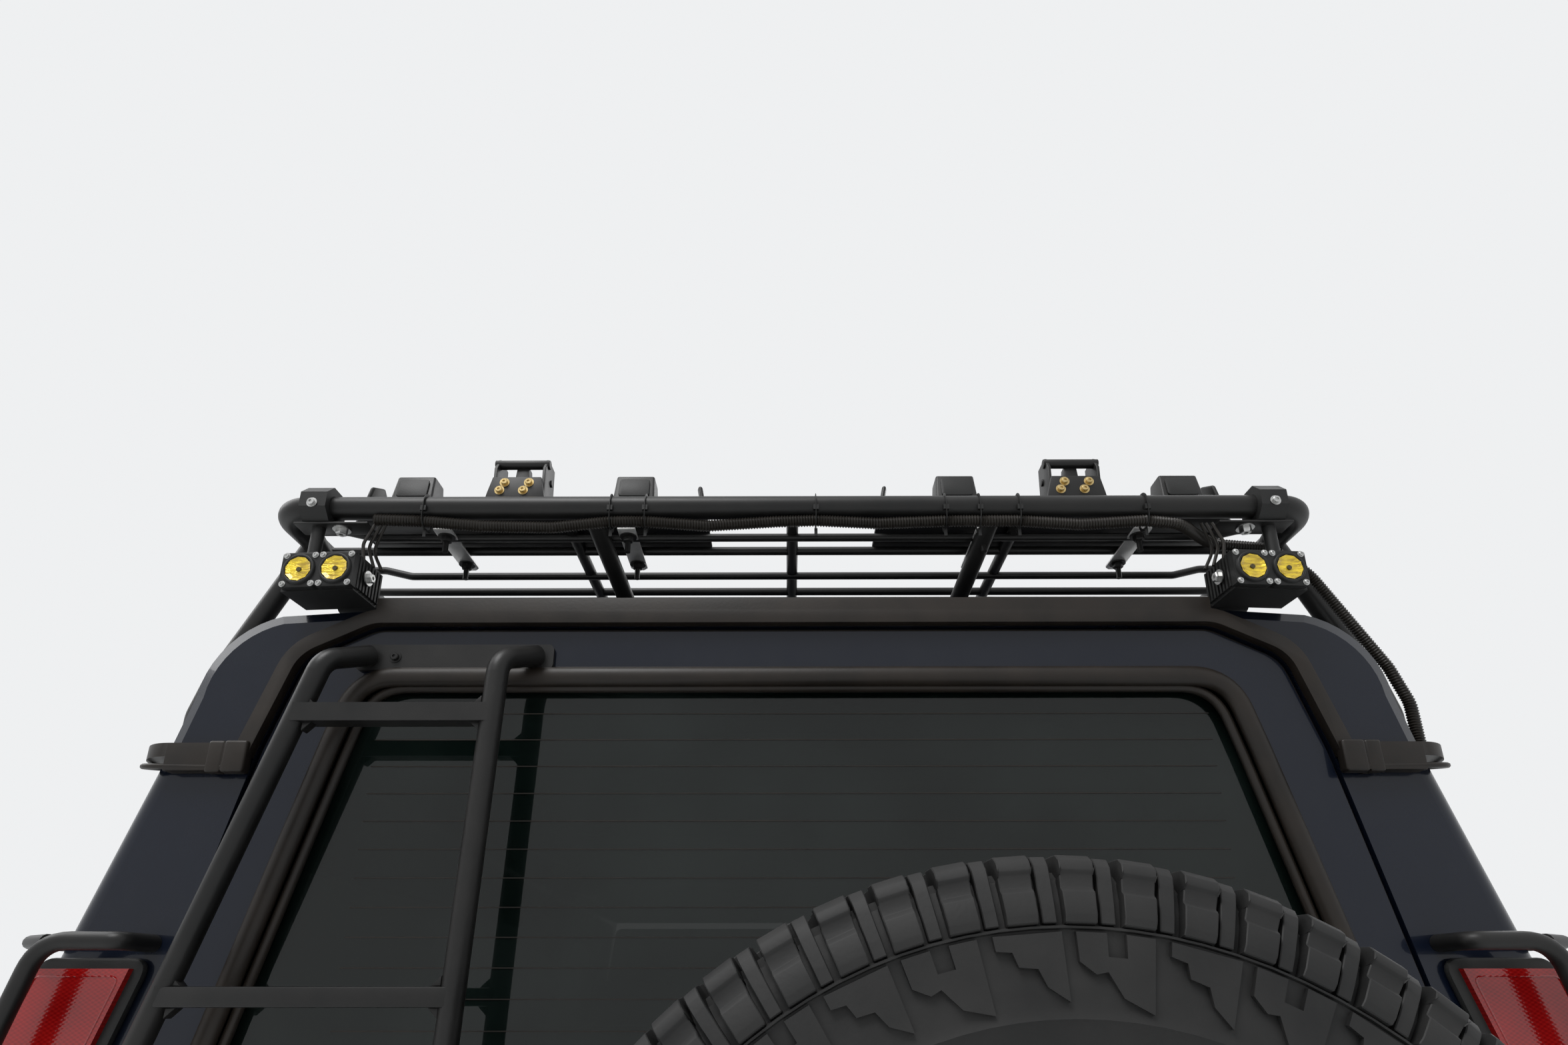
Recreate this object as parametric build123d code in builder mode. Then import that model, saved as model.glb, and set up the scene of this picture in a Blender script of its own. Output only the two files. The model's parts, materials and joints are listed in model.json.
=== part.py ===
from build123d import *

import math
import os

# Lifted off-road estate car with a stepped roof, tubular rack, ladder and spare wheel.
# X is the car's left, Y its rear and Z up. The origin is under the middle, on the ground.

os.makedirs("parts", exist_ok=True)

# Wheels and plan
wheelbase = 2540
track = 1560
front_overhang = 850
tail_overhang = 985
tyre_d = 820
tyre_w = 272
rim_r = 203
spare_gap = 140

total_length = front_overhang + wheelbase + tail_overhang + spare_gap + tyre_w
nose_y = -total_length / 2
axle_f = nose_y + front_overhang
axle_r = axle_f + wheelbase
tail_y = axle_r + tail_overhang
axle_z = tyre_d / 2
wheel_x = track / 2

# Heights
sill_z = 590
floor_z = 730
floor_t = 30
belt_z = 930
waist_z = 1275
gutter_z = 1785
roof_low_z = 1905
roof_high_z = 2000
bonnet_fall = 0.075

# Half widths of the body side
sill_x = 885
belt_x = 934
waist_x = 924
gutter_x = 776
bonnet_x = 655
bumper_x = 935

# Walls and gaps
door_t = 45
side_t = 70
door_gap = 7
seat_gap = 0.3
glass_t = 5
glass_in = 14
panel_t = 35

# Places along the car, from the front axle
bulkhead_y = axle_f + 430
screen_foot_y = axle_f + 430
screen_head_y = axle_f + 900
door_front_y = axle_f + 560
door_split_y = axle_f + 1490
door_end_y = axle_f + 2290
door_foot_y = axle_f + 2060
roof_step_y = axle_f + 1510
roof_raised_y = axle_f + 1740
face_y = axle_f - 800
arch_r = 472
liner_r = 487
door_low_z = 645
door_head_z = gutter_z - 40

# Bumpers
bumper_z0, bumper_z1 = 640, 835
bumper_rear_z0, bumper_rear_z1 = 600, 760
bumper_wrap = 260
eye_r = 14
eye_t = 25
eye_reach = 44
eye_x = 400

# Chassis
rail_in = 290
rail_w = 80
rail_z0 = 545
rail_z1 = 665
rail_front_y = axle_f - 690
rail_end_y = tail_y - 62
kingpin_x = 665
hub_x = 745
spring_x = 455
spring_r = 60
spring_z0 = 480
spring_z1 = 640
axle_tube_r = 42
propshaft_r = 30

# Rack
rack_lift = 105
rack_z = roof_high_z + rack_lift
rack_x = 672
rack_tube_r = 15
rack_front_y = screen_head_y + 60
rack_rear_y = tail_y + 28
slat_r = 6
slat_pitch = 130

# Tail door
tail_t = 60
tail_low_z = 772
tail_low_x = 752
tail_gutter_x = 648
tail_head_z = 1942
tail_head_x = 590
tail_corner_r = 42
spare_x = -184
spare_z = tail_low_z + 8 + tyre_d / 2


def station(y):
    """A plane across the car: local x is X and local y is Z."""
    return Plane(origin=(0, y, 0), x_dir=(1, 0, 0), z_dir=(0, -1, 0))


def flank(x):
    """A plane along the car: local x is Y and local y is Z."""
    return Plane(origin=(x, 0, 0), x_dir=(0, 1, 0), z_dir=(1, 0, 0))


def level(z):
    """A level plane: local x is X and local y is Y."""
    return Plane.XY.offset(z)


def keep(builder, name):
    """Labels a finished piece and writes its file."""
    builder.part.label = name
    export_step(builder.part, f"parts/{name}.step")


def mirrored(shape):
    """The same piece on the car's other side."""
    return mirror(shape, about=Plane.YZ, mode=Mode.PRIVATE)


def bow_centre():
    """Centre height, half-width and radius of the arc that bows the body side."""
    ax, az, bx, bz, cx, cz = sill_x, sill_z, belt_x, belt_z, waist_x, waist_z
    d = 2 * (ax * (bz - cz) + bx * (cz - az) + cx * (az - bz))
    a2, b2, c2 = ax * ax + az * az, bx * bx + bz * bz, cx * cx + cz * cz
    ox = (a2 * (bz - cz) + b2 * (cz - az) + c2 * (az - bz)) / d
    oz = (a2 * (cx - bx) + b2 * (ax - cx) + c2 * (bx - ax)) / d
    return ox, oz, math.hypot(ax - ox, az - oz)


def side_at(z, inset=0):
    """Half-width of the body side at a height, less an inset."""
    if z > waist_z:
        share = (z - waist_z) / (gutter_z - waist_z)
        return waist_x + share * (gutter_x - waist_x) - inset
    ox, oz, r = bow_centre()
    return ox + math.sqrt(r * r - (z - oz) ** 2) - inset


def side_band(outer, inner, low=sill_z, high=gutter_z):
    """Section of the left body side between two insets from its skin."""
    middle = (low + waist_z) / 2
    with BuildSketch(station(tail_y), mode=Mode.PRIVATE) as band:
        with BuildLine():
            ThreePointArc(
                (side_at(low, outer), low), (side_at(middle, outer), middle), (waist_x - outer, waist_z)
            )
            Line((waist_x - outer, waist_z), (side_at(high, outer), high))
            Line((side_at(high, outer), high), (side_at(high, inner), high))
            Line((side_at(high, inner), high), (waist_x - inner, waist_z))
            ThreePointArc(
                (waist_x - inner, waist_z), (side_at(middle, inner), middle), (side_at(low, inner), low)
            )
            Line((side_at(low, inner), low), (side_at(low, outer), low))
        make_face()
    return band.sketch


def side_piece(outer, inner, outline, offset_by=0, low=sill_z, high=gutter_z):
    """Part of the left body side: a band cut to an outline seen from the side."""
    with BuildPart(mode=Mode.PRIVATE) as piece:
        extrude(side_band(outer, inner, low, high), amount=tail_y - nose_y)
        with BuildSketch(flank(0)):
            with BuildLine():
                Polyline(*outline, close=True)
            make_face()
            if offset_by:
                offset(amount=offset_by, kind=Kind.INTERSECTION)
        extrude(amount=2 * belt_x, mode=Mode.INTERSECT)
    return piece.part


def both_sides(half):
    """A closed outline from its left half, listed from the bottom up."""
    return list(half) + [(-x, z) for x, z in reversed(half)]


# The tail door's edge and its window, as (x, z) corners of the left half
tail_outline = [
    (tail_low_x, tail_low_z),
    (tail_low_x, waist_z),
    (tail_gutter_x, gutter_z),
    (tail_head_x + 22, tail_head_z - 40),
    (tail_head_x - 60, tail_head_z),
]
tail_window = [(684, waist_z + 30), (568, gutter_z), (543, tail_head_z - 62)]
tail_window_r = 62


def tail_shape(y, outline, corner_r, grow=0):
    """An outline across the car with its high corners rounded, grown or shrunk by a margin."""
    with BuildSketch(station(y), mode=Mode.PRIVATE) as flat:
        with BuildLine():
            Polyline(*both_sides(outline), close=True)
        make_face()
        high = flat.vertices().filter_by_position(Axis.Y, gutter_z + 1, 2 * gutter_z)
        fillet(high, radius=corner_r)
        if grow:
            offset(amount=grow, kind=Kind.INTERSECTION)
    return flat.sketch


# Outlines seen from the side, as (y, z) corners
split_lap = 0.5
rake = (screen_head_y - screen_foot_y) / (gutter_z - waist_z)
pillar_w = 105
door_front_outline = [
    (door_front_y, door_low_z),
    (door_front_y, waist_z + 20),
    (screen_foot_y + pillar_w + rake * (door_head_z - waist_z), door_head_z),
    (door_split_y + split_lap, door_head_z),
    (door_split_y + split_lap, door_low_z),
]
door_rear_outline = [
    (door_split_y - split_lap, door_low_z),
    (door_split_y - split_lap, door_head_z),
    (door_end_y, door_head_z),
    (door_end_y, belt_z + 40),
    (door_foot_y, door_low_z + 60),
    (door_foot_y, door_low_z),
]
window_low_z = waist_z + 22
window_high_z = door_head_z - 48
window_front_outline = [
    (door_front_y + 60, window_low_z),
    (screen_foot_y + pillar_w + 62 + rake * (window_high_z - waist_z), window_high_z),
    (door_split_y - 62, window_high_z),
    (door_split_y - 62, window_low_z),
]
window_rear_outline = [
    (door_split_y + 62, window_low_z),
    (door_split_y + 62, window_high_z),
    (door_end_y - 60, window_high_z),
    (door_end_y - 60, window_low_z),
]
window_quarter_outline = [
    (door_end_y + 75, window_low_z),
    (door_end_y + 75, window_high_z),
    (tail_y - 170, window_high_z),
    (tail_y - 140, window_low_z),
]

# Hinges of the side doors: pins outside the skin, each in three knuckles
hinge_out = 8.5
hinge_x = round(side_at((belt_z + waist_z) / 2) + hinge_out, 1)
hinge_r = 7
door_clear = 5.2
pin_r = 4
knuckle_h = 24
lug_t = 3
hinge_places = [800, 1150]

# Each side door: its opening, its window, the y of its hinge and of the lugs that carry it
front_hinge_y = door_front_y + split_lap
rear_hinge_y = door_split_y + split_lap - door_gap + door_clear + hinge_r
side_doors = {
    "front": (door_front_outline, window_front_outline, front_hinge_y, front_hinge_y),
    "rear": (door_rear_outline, window_rear_outline, rear_hinge_y, door_split_y),
}


def hinge_stack(y, z, lug_y):
    """The body's part of a hinge: a pin with a knuckle at each end, on lugs from the pillar."""
    with BuildPart(mode=Mode.PRIVATE) as stack:
        with Locations((hinge_x, y, z)):
            Cylinder(pin_r, 3 * knuckle_h)
        for over in (-1, 1):
            with Locations((hinge_x, y, z + over * knuckle_h)):
                Cylinder(hinge_r, knuckle_h)
            with Locations((hinge_x, lug_y, z + over * knuckle_h)):
                Box(belt_x - sill_x + 60, lug_t, knuckle_h, align=(Align.MAX, Align.CENTER, Align.CENTER))
    return stack.part


def hinge_leaf(y, z):
    """The door's part of a hinge: the middle knuckle on a leaf that lies on the skin."""
    with BuildPart(mode=Mode.PRIVATE) as leaf:
        with BuildSketch(level(z - knuckle_h / 2 + seat_gap)):
            with Locations((hinge_x, y)):
                Circle(hinge_r)
            with Locations((hinge_x - pin_r, y)):
                Rectangle(pin_r + hinge_r, 12, align=(Align.MIN, Align.MIN))
            with Locations((hinge_x - 28, y + door_gap)):
                Rectangle(28 + hinge_r, 26, align=(Align.MIN, Align.MIN))
            with Locations((hinge_x, y)):
                Circle(pin_r + seat_gap, mode=Mode.SUBTRACT)
        extrude(amount=knuckle_h - 2 * seat_gap)
    return leaf.part


# Hinges of the tail door: barrels on the door, pins on lugs at the right rear corner
tail_hinge_x = -tail_low_x - 3
tail_hinge_y = tail_y + 14
barrel_r = 11
barrel_h = 90
tail_pin_r = 5
tail_hinge_places = [tail_low_z + 120, waist_z - 100]


def tail_hinge_stack(z):
    """The body's part of a tail hinge: a pin between two lugs on the corner."""
    with BuildPart(mode=Mode.PRIVATE) as stack:
        with Locations((tail_hinge_x, tail_hinge_y, z - 10)):
            Cylinder(tail_pin_r, barrel_h + 20, align=(Align.CENTER, Align.CENTER, Align.MIN))
        for low in (z - 16 - seat_gap, z + barrel_h + seat_gap):
            with BuildSketch(level(low)):
                with Locations((tail_hinge_x, tail_hinge_y)):
                    Circle(barrel_r - 2)
                with Locations((tail_hinge_x, tail_hinge_y + 8)):
                    Rectangle(20, tail_hinge_y + 30 - tail_y, align=(Align.MAX, Align.MAX))
            extrude(amount=16)
    return stack.part


# Body sides: skin, pillars, sill and the corner that turns in beside the tail door
side_outline = [
    (bulkhead_y, sill_z),
    (screen_foot_y, waist_z),
    (screen_head_y, gutter_z),
    (tail_y, gutter_z),
    (tail_y, sill_z),
]
flange = 24
corner_round = 28
with BuildPart() as side:
    add(side_piece(0, side_t, side_outline))
    with BuildSketch(station(tail_y)):
        with BuildLine():
            Polyline(
                (tail_low_x + door_gap, sill_z),
                (tail_low_x + door_gap, waist_z),
                (tail_gutter_x + door_gap, gutter_z),
                (side_at(gutter_z, 30), gutter_z),
                (waist_x - 30, waist_z),
                (waist_x - 30, belt_z),
                (side_at(sill_z, 30), sill_z),
                close=True,
            )
        make_face()
    extrude(amount=tail_t + 10)
    with BuildSketch(level(sill_z - 10)):
        with Locations((sill_x, tail_y)):
            Rectangle(400, 2 * bumper_wrap + 16)
    extrude(amount=bumper_rear_z1 + 8 - sill_z + 10, mode=Mode.SUBTRACT)
    corner_edges = side.edges().filter_by_position(Axis.Y, tail_y - 1, tail_y + 1)
    corner_edges = [e for e in corner_edges if e.center().X > side_at(e.center().Z) - 4]
    corner_edges = [e for e in corner_edges if e.length > 100]
    fillet(corner_edges, radius=corner_round)
    for opening, window, hinge_y, lug_y in side_doors.values():
        add(side_piece(-20, door_t + 6, opening), mode=Mode.SUBTRACT)
        add(side_piece(-20, side_t + 20, opening, -flange), mode=Mode.SUBTRACT)
    for opening, window, hinge_y, lug_y in side_doors.values():
        for z in hinge_places:
            add(hinge_stack(hinge_y, z, lug_y))
    add(side_piece(-20, side_t + 20, window_quarter_outline), mode=Mode.SUBTRACT)
    with BuildSketch(flank(sill_x - 200)):
        with Locations((axle_r, axle_z)):
            Circle(arch_r)
    extrude(amount=400, mode=Mode.SUBTRACT)
side.part.label = "body_side_left"
export_step(side.part, "parts/body_side_left.step")
with BuildPart() as side_right:
    add(mirrored(side.part))
    for z in tail_hinge_places:
        add(tail_hinge_stack(z))
keep(side_right, "body_side_right")

# Side doors with their windows and glass
for place, (opening, window, hinge_y, lug_y) in side_doors.items():
    with BuildPart() as door:
        add(side_piece(0, door_t, opening, -door_gap))
        add(side_piece(-20, door_t + 20, window), mode=Mode.SUBTRACT)
        for z in hinge_places:
            add(hinge_leaf(hinge_y, z))
    keep(door, f"door_{place}_left")
    with BuildPart() as door_other:
        add(mirrored(door.part))
    keep(door_other, f"door_{place}_right")
    with BuildPart() as pane:
        add(side_piece(glass_in, glass_in + glass_t, window, -seat_gap))
    keep(pane, f"glass_{place}_left")
    with BuildPart() as pane_other:
        add(mirrored(pane.part))
    keep(pane_other, f"glass_{place}_right")

# Floor with its tunnel, rear wheelhouses and tail sill
tunnel_x = 135
tunnel_z = 880
tunnel_end_y = axle_f + 1300
wheelhouse_in = 600
floor_low = floor_z - floor_t
with BuildPart() as floor_pan:
    with BuildSketch(station(tail_y)):
        with BuildLine():
            Polyline(
                (-side_at(floor_low, side_t + 1), floor_low),
                (side_at(floor_low, side_t + 1), floor_low),
                (side_at(floor_z, side_t + 1), floor_z),
                (-side_at(floor_z, side_t + 1), floor_z),
                close=True,
            )
        make_face()
    extrude(amount=tail_y - bulkhead_y)
    with BuildSketch(station(tunnel_end_y)):
        with Locations((0, floor_z)):
            Rectangle(2 * tunnel_x, tunnel_z - floor_z, align=(Align.CENTER, Align.MIN))
    extrude(amount=tunnel_end_y - bulkhead_y)
    with BuildSketch(station(tail_y)):
        with Locations((0, floor_z)):
            Rectangle(2 * tail_low_x, tail_low_z - door_gap - floor_z, align=(Align.CENTER, Align.MIN))
    extrude(amount=tail_t + 10)
    for hand in (-1, 1):
        with BuildSketch(flank(hand * wheelhouse_in)):
            with Locations((axle_r, axle_z)):
                Circle(liner_r + 12)
            with Locations((axle_r, floor_low)):
                Rectangle(3 * liner_r, 3 * liner_r, align=(Align.CENTER, Align.MAX), mode=Mode.SUBTRACT)
        extrude(amount=hand * (sill_x - side_t - wheelhouse_in - 2))
    with BuildSketch(station(tunnel_end_y - 20)):
        with Locations((0, floor_low)):
            Rectangle(2 * tunnel_x - 40, tunnel_z - 20 - floor_low, align=(Align.CENTER, Align.MIN))
    extrude(amount=tunnel_end_y - 20 - bulkhead_y, mode=Mode.SUBTRACT)
    for hand in (-1, 1):
        with BuildSketch(flank(hand * (wheelhouse_in + 15))):
            with Locations((axle_r, axle_z)):
                Circle(liner_r)
        extrude(amount=hand * 400, mode=Mode.SUBTRACT)
keep(floor_pan, "floor_pan")

# Bulkhead and cowl between the body sides, with the pins of the bonnet's hinges
wing_top_z = waist_z + 8
wing_end_y = bulkhead_y - 6
bonnet_y = wing_end_y - 4
bonnet_hinge_y = bonnet_y + 2
bonnet_hinge_z = wing_top_z + 17
bonnet_hinge_x = 560
with BuildPart() as bulkhead:
    with BuildSketch(station(bulkhead_y + 25)):
        with BuildLine():
            Polyline(
                (-side_at(floor_z, side_t + 1), floor_z),
                (side_at(floor_z, side_t + 1), floor_z),
                (side_at(belt_z, side_t + 1), belt_z),
                (waist_x - side_t - 1, waist_z),
                (-waist_x + side_t + 1, waist_z),
                (-side_at(belt_z, side_t + 1), belt_z),
                close=True,
            )
        make_face()
        with Locations((0, floor_z)):
            Rectangle(2 * tunnel_x, tunnel_z - floor_z, align=(Align.CENTER, Align.MIN), mode=Mode.SUBTRACT)
    extrude(amount=25)
    # Each bonnet hinge: a pin on two lugs that stand on the bulkhead
    for hand in (-1, 1):
        with BuildSketch(flank(hand * bonnet_hinge_x - knuckle_h)):
            with Locations((bonnet_hinge_y, bonnet_hinge_z)):
                Circle(pin_r)
        extrude(amount=2 * knuckle_h)
        for over in (-1, 1):
            middle = hand * bonnet_hinge_x + over * (0.75 * knuckle_h + seat_gap / 2)
            with BuildSketch(flank(middle - knuckle_h / 4 + seat_gap / 2)):
                with BuildLine():
                    Polyline(
                        (bonnet_hinge_y - hinge_r, bonnet_hinge_z - hinge_r),
                        (bonnet_hinge_y - hinge_r, bonnet_hinge_z + hinge_r),
                        (bonnet_hinge_y + hinge_r, bonnet_hinge_z + hinge_r),
                        (bulkhead_y + 20, waist_z - 2),
                        (bulkhead_y + 1, waist_z - 14),
                        close=True,
                    )
                make_face()
            extrude(amount=knuckle_h / 2 - seat_gap)
keep(bulkhead, "bulkhead")


# Roof: low over the front seats, stepped up behind them, hollow below
def roof_section(y, top, inset=0, lip=gutter_z):
    """Section of the roof at one place along the car: rounded shoulders and a bowed crown."""
    foot = gutter_x - inset
    rise = top - gutter_z - inset
    shoulder = [(0, 0), (0.09, 0.36), (0.21, 0.68), (0.52, 0.88)]
    low, start, middle, end = [(foot - share * rise, gutter_z + up * rise) for share, up in shoulder]
    with BuildSketch(station(y), mode=Mode.PRIVATE) as section:
        with BuildLine():
            if lip < gutter_z:
                Polyline((foot, lip), low, start)
            else:
                Line(low, start)
            ThreePointArc(start, middle, end)
            ThreePointArc(end, (0, gutter_z + rise), (-end[0], end[1]))
            ThreePointArc((-end[0], end[1]), (-middle[0], middle[1]), (-start[0], start[1]))
            Line((-start[0], start[1]), (-low[0], low[1]))
            if lip < gutter_z:
                Polyline((-low[0], low[1]), (-foot, lip), (foot, lip))
            else:
                Line((-low[0], low[1]), low)
        make_face()
    return section.sketch


roof_t = 28
rear_round = 26
roof_stations = [
    (screen_head_y, roof_low_z - 35),
    (screen_head_y + 160, roof_low_z),
    (roof_step_y, roof_low_z),
    (roof_raised_y, roof_high_z),
    (tail_y - rear_round, roof_high_z),
]
with BuildPart() as roof:
    loft([roof_section(y, top) for y, top in roof_stations], ruled=True)
    rear_end = [
        roof_section(tail_y - rear_round, roof_high_z),
        roof_section(tail_y - 0.3 * rear_round, roof_high_z, 0.3 * rear_round),
        roof_section(tail_y, roof_high_z, 0.9 * rear_round),
    ]
    loft(rear_end, ruled=True)
    hollow_start = (screen_head_y + roof_t, roof_low_z - 35 + 35 * roof_t / 160)
    hollow = [hollow_start] + roof_stations[1:-1] + [(tail_y - tail_t, roof_high_z)]
    loft([roof_section(y, top, roof_t, gutter_z - 30) for y, top in hollow], ruled=True, mode=Mode.SUBTRACT)
    extrude(tail_shape(tail_y + 1, tail_outline, tail_corner_r, door_gap), amount=tail_t + 30, mode=Mode.SUBTRACT)
keep(roof, "roof")

# Windscreen and fixed side panes
screen_t = 8
screen_up = Plane(
    origin=(0, screen_foot_y, waist_z),
    x_dir=(1, 0, 0),
    z_dir=(0, -(gutter_z - waist_z), screen_head_y - screen_foot_y),
)
screen_len = math.hypot(gutter_z - waist_z, screen_head_y - screen_foot_y)
with BuildPart() as body_glass:
    with BuildSketch(screen_up.offset(-20)):
        with BuildLine():
            Polyline(
                (waist_x - side_t - 3, 30),
                (gutter_x - side_t - 1, screen_len - 22),
                (-gutter_x + side_t + 1, screen_len - 22),
                (-waist_x + side_t + 3, 30),
                close=True,
            )
        make_face()
    extrude(amount=-screen_t)
    quarter = side_piece(glass_in, glass_in + glass_t, window_quarter_outline, -seat_gap)
    add(quarter)
    add(mirrored(quarter))
keep(body_glass, "body_glass")

# Front wings with liners, lamp openings and the panel across the nose
fall = Vector(0, -1, -bonnet_fall)
wing_low_z = 650
nose_low_z = 845
lamp_z0, lamp_z1 = 935, 1085
lamp_x0, lamp_x1 = 430, 760


def wing_section(inset, top, inner_x):
    """Section of a wing: the body side's bow, a rounded shoulder and a flat top."""
    with BuildSketch(station(wing_end_y), mode=Mode.PRIVATE) as section:
        with BuildLine():
            ThreePointArc(
                (side_at(sill_z, inset), sill_z - 120),
                (side_at(belt_z, inset), belt_z),
                (side_at(waist_z - 60, inset), waist_z - 60),
            )
            Line((side_at(waist_z - 60, inset), waist_z - 60), (side_at(waist_z, inset + 70), top))
            Line((side_at(waist_z, inset + 70), top), (inner_x, top + 8))
            Line((inner_x, top + 8), (inner_x, sill_z - 120))
            Line((inner_x, sill_z - 120), (side_at(sill_z, inset), sill_z - 120))
        make_face()
    return section.sketch


run_length = wing_end_y - face_y
with BuildPart() as wing:
    extrude(wing_section(0, wing_top_z, bonnet_x + 6), amount=run_length, dir=fall)
    extrude(wing_section(panel_t, wing_top_z - panel_t, 500), amount=run_length - 60, dir=fall, mode=Mode.SUBTRACT)
    with BuildPart(mode=Mode.PRIVATE) as liner:
        with BuildSketch(flank(435)):
            with Locations((axle_f, axle_z)):
                Circle(liner_r + 12)
            with Locations((axle_f, wing_low_z)):
                Rectangle(3 * liner_r, 3 * liner_r, align=(Align.CENTER, Align.MAX), mode=Mode.SUBTRACT)
            with Locations((wing_end_y, 0)):
                Rectangle(liner_r, 2 * waist_z, align=(Align.MIN, Align.CENTER), mode=Mode.SUBTRACT)
        extrude(amount=600)
        extrude(side_band(10, 500, sill_z, waist_z + 20), amount=tail_y - nose_y, mode=Mode.INTERSECT)
    add(liner.part)
    with BuildSketch(flank(400)):
        with Locations((axle_f, axle_z)):
            Circle(liner_r)
    extrude(amount=side_at(belt_z, 20) - 400, mode=Mode.SUBTRACT)
    with BuildSketch(flank(400)):
        with Locations((axle_f, axle_z)):
            Circle(arch_r)
    extrude(amount=600, mode=Mode.SUBTRACT)
    with BuildSketch(level(0)):
        with Locations((700, (face_y + wing_end_y) / 2)):
            Rectangle(800, run_length + 400)
    extrude(amount=wing_low_z, mode=Mode.SUBTRACT)
    with BuildSketch(level(0)):
        with Locations((700, (face_y + axle_f) / 2 - 240)):
            Rectangle(800, run_length - 400)
    extrude(amount=nose_low_z, mode=Mode.SUBTRACT)
    with BuildSketch(station(face_y + 60)):
        with Locations((0, nose_low_z)):
            Rectangle(bonnet_x + 8, 1112 - nose_low_z, align=(Align.MIN, Align.MIN))
    extrude(amount=40)
    with BuildSketch(station(face_y + 150)):
        with Locations(((lamp_x0 + lamp_x1) / 2, (lamp_z0 + lamp_z1) / 2)):
            Rectangle(lamp_x1 - lamp_x0, lamp_z1 - lamp_z0)
    extrude(amount=200, mode=Mode.SUBTRACT)
    with BuildSketch(station(face_y + 150)):
        with Locations((0, (lamp_z0 + lamp_z1) / 2)):
            Rectangle(2 * lamp_x0 - 60, lamp_z1 - lamp_z0)
    extrude(amount=200, mode=Mode.SUBTRACT)
flange_t = 16
with BuildPart() as wing_flange:
    extrude(side_band(panel_t - 1 - flange_t, panel_t - 1, 760), amount=tail_y - bulkhead_y + 30)
    with BuildSketch(level(0)):
        with Locations((0, bulkhead_y - seat_gap)):
            Rectangle(4 * belt_x, 2 * tail_y, align=(Align.CENTER, Align.MIN))
    extrude(amount=gutter_z, mode=Mode.SUBTRACT)
    with BuildSketch(level(waist_z - 80)):
        Rectangle(4 * belt_x, 4 * tail_y)
    extrude(amount=gutter_z, mode=Mode.SUBTRACT)
with BuildPart() as front_wings:
    add(wing.part)
    add(wing_flange.part)
    add(mirrored(wing_flange.part))
    add(mirrored(wing.part))
keep(front_wings, "front_wings")

# Bonnet, hinged at its rear edge
bonnet_t = 32
with BuildPart() as bonnet:
    with BuildSketch(station(bonnet_y)):
        with BuildLine():
            ThreePointArc((-bonnet_x, wing_top_z + 8), (0, wing_top_z + 34), (bonnet_x, wing_top_z + 8))
            Line((bonnet_x, wing_top_z + 8), (bonnet_x, wing_top_z + 8 - bonnet_t))
            ThreePointArc(
                (bonnet_x, wing_top_z + 8 - bonnet_t),
                (0, wing_top_z + 34 - bonnet_t),
                (-bonnet_x, wing_top_z + 8 - bonnet_t),
            )
            Line((-bonnet_x, wing_top_z + 8 - bonnet_t), (-bonnet_x, wing_top_z + 8))
        make_face()
    extrude(amount=bonnet_y - face_y - 10, dir=fall)
    with BuildSketch(flank(-bonnet_x)):
        with Locations((face_y + 12, 1118)):
            Rectangle(22, 90, align=(Align.MIN, Align.MIN))
    extrude(amount=2 * bonnet_x)
    for hand in (-1, 1):
        with BuildSketch(flank(hand * bonnet_hinge_x - 1.25 * knuckle_h)):
            with Locations((bonnet_y + 1, bonnet_hinge_z)):
                Rectangle(16, 120, align=(Align.MAX, Align.CENTER))
        extrude(amount=2.5 * knuckle_h, mode=Mode.SUBTRACT)
        with BuildSketch(flank(hand * bonnet_hinge_x - knuckle_h / 2)):
            with Locations((bonnet_hinge_y, bonnet_hinge_z)):
                Circle(hinge_r)
                Rectangle(26, 2 * hinge_r, align=(Align.MAX, Align.CENTER))
                Circle(pin_r + seat_gap, mode=Mode.SUBTRACT)
        extrude(amount=knuckle_h)
keep(bonnet, "bonnet")

# Grille with level bars, and a block for each headlamp
with BuildPart() as grille:
    with BuildSketch(station(face_y + 45)):
        with Locations((0, (lamp_z0 + lamp_z1) / 2)):
            Rectangle(2 * lamp_x0 - 60 - 2 * seat_gap, lamp_z1 - lamp_z0 - 2 * seat_gap)
            Rectangle(2 * lamp_x0 - 110, lamp_z1 - lamp_z0 - 50, mode=Mode.SUBTRACT)
            with GridLocations(0, 38, 1, 3):
                Rectangle(2 * lamp_x0 - 100, 14)
            with GridLocations(180, 0, 4, 1):
                Rectangle(8, lamp_z1 - lamp_z0 - 40)
    extrude(amount=40)
keep(grille, "grille")

with BuildPart() as headlamps:
    with BuildSketch(station(face_y + 140)):
        with Locations(((lamp_x0 + lamp_x1) / 2, (lamp_z0 + lamp_z1) / 2)):
            RectangleRounded(lamp_x1 - lamp_x0 - 2 * seat_gap, lamp_z1 - lamp_z0 - 2 * seat_gap, 14)
        with Locations((-(lamp_x0 + lamp_x1) / 2, (lamp_z0 + lamp_z1) / 2)):
            RectangleRounded(lamp_x1 - lamp_x0 - 2 * seat_gap, lamp_z1 - lamp_z0 - 2 * seat_gap, 14)
    extrude(amount=145)
keep(headlamps, "headlamps")

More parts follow.
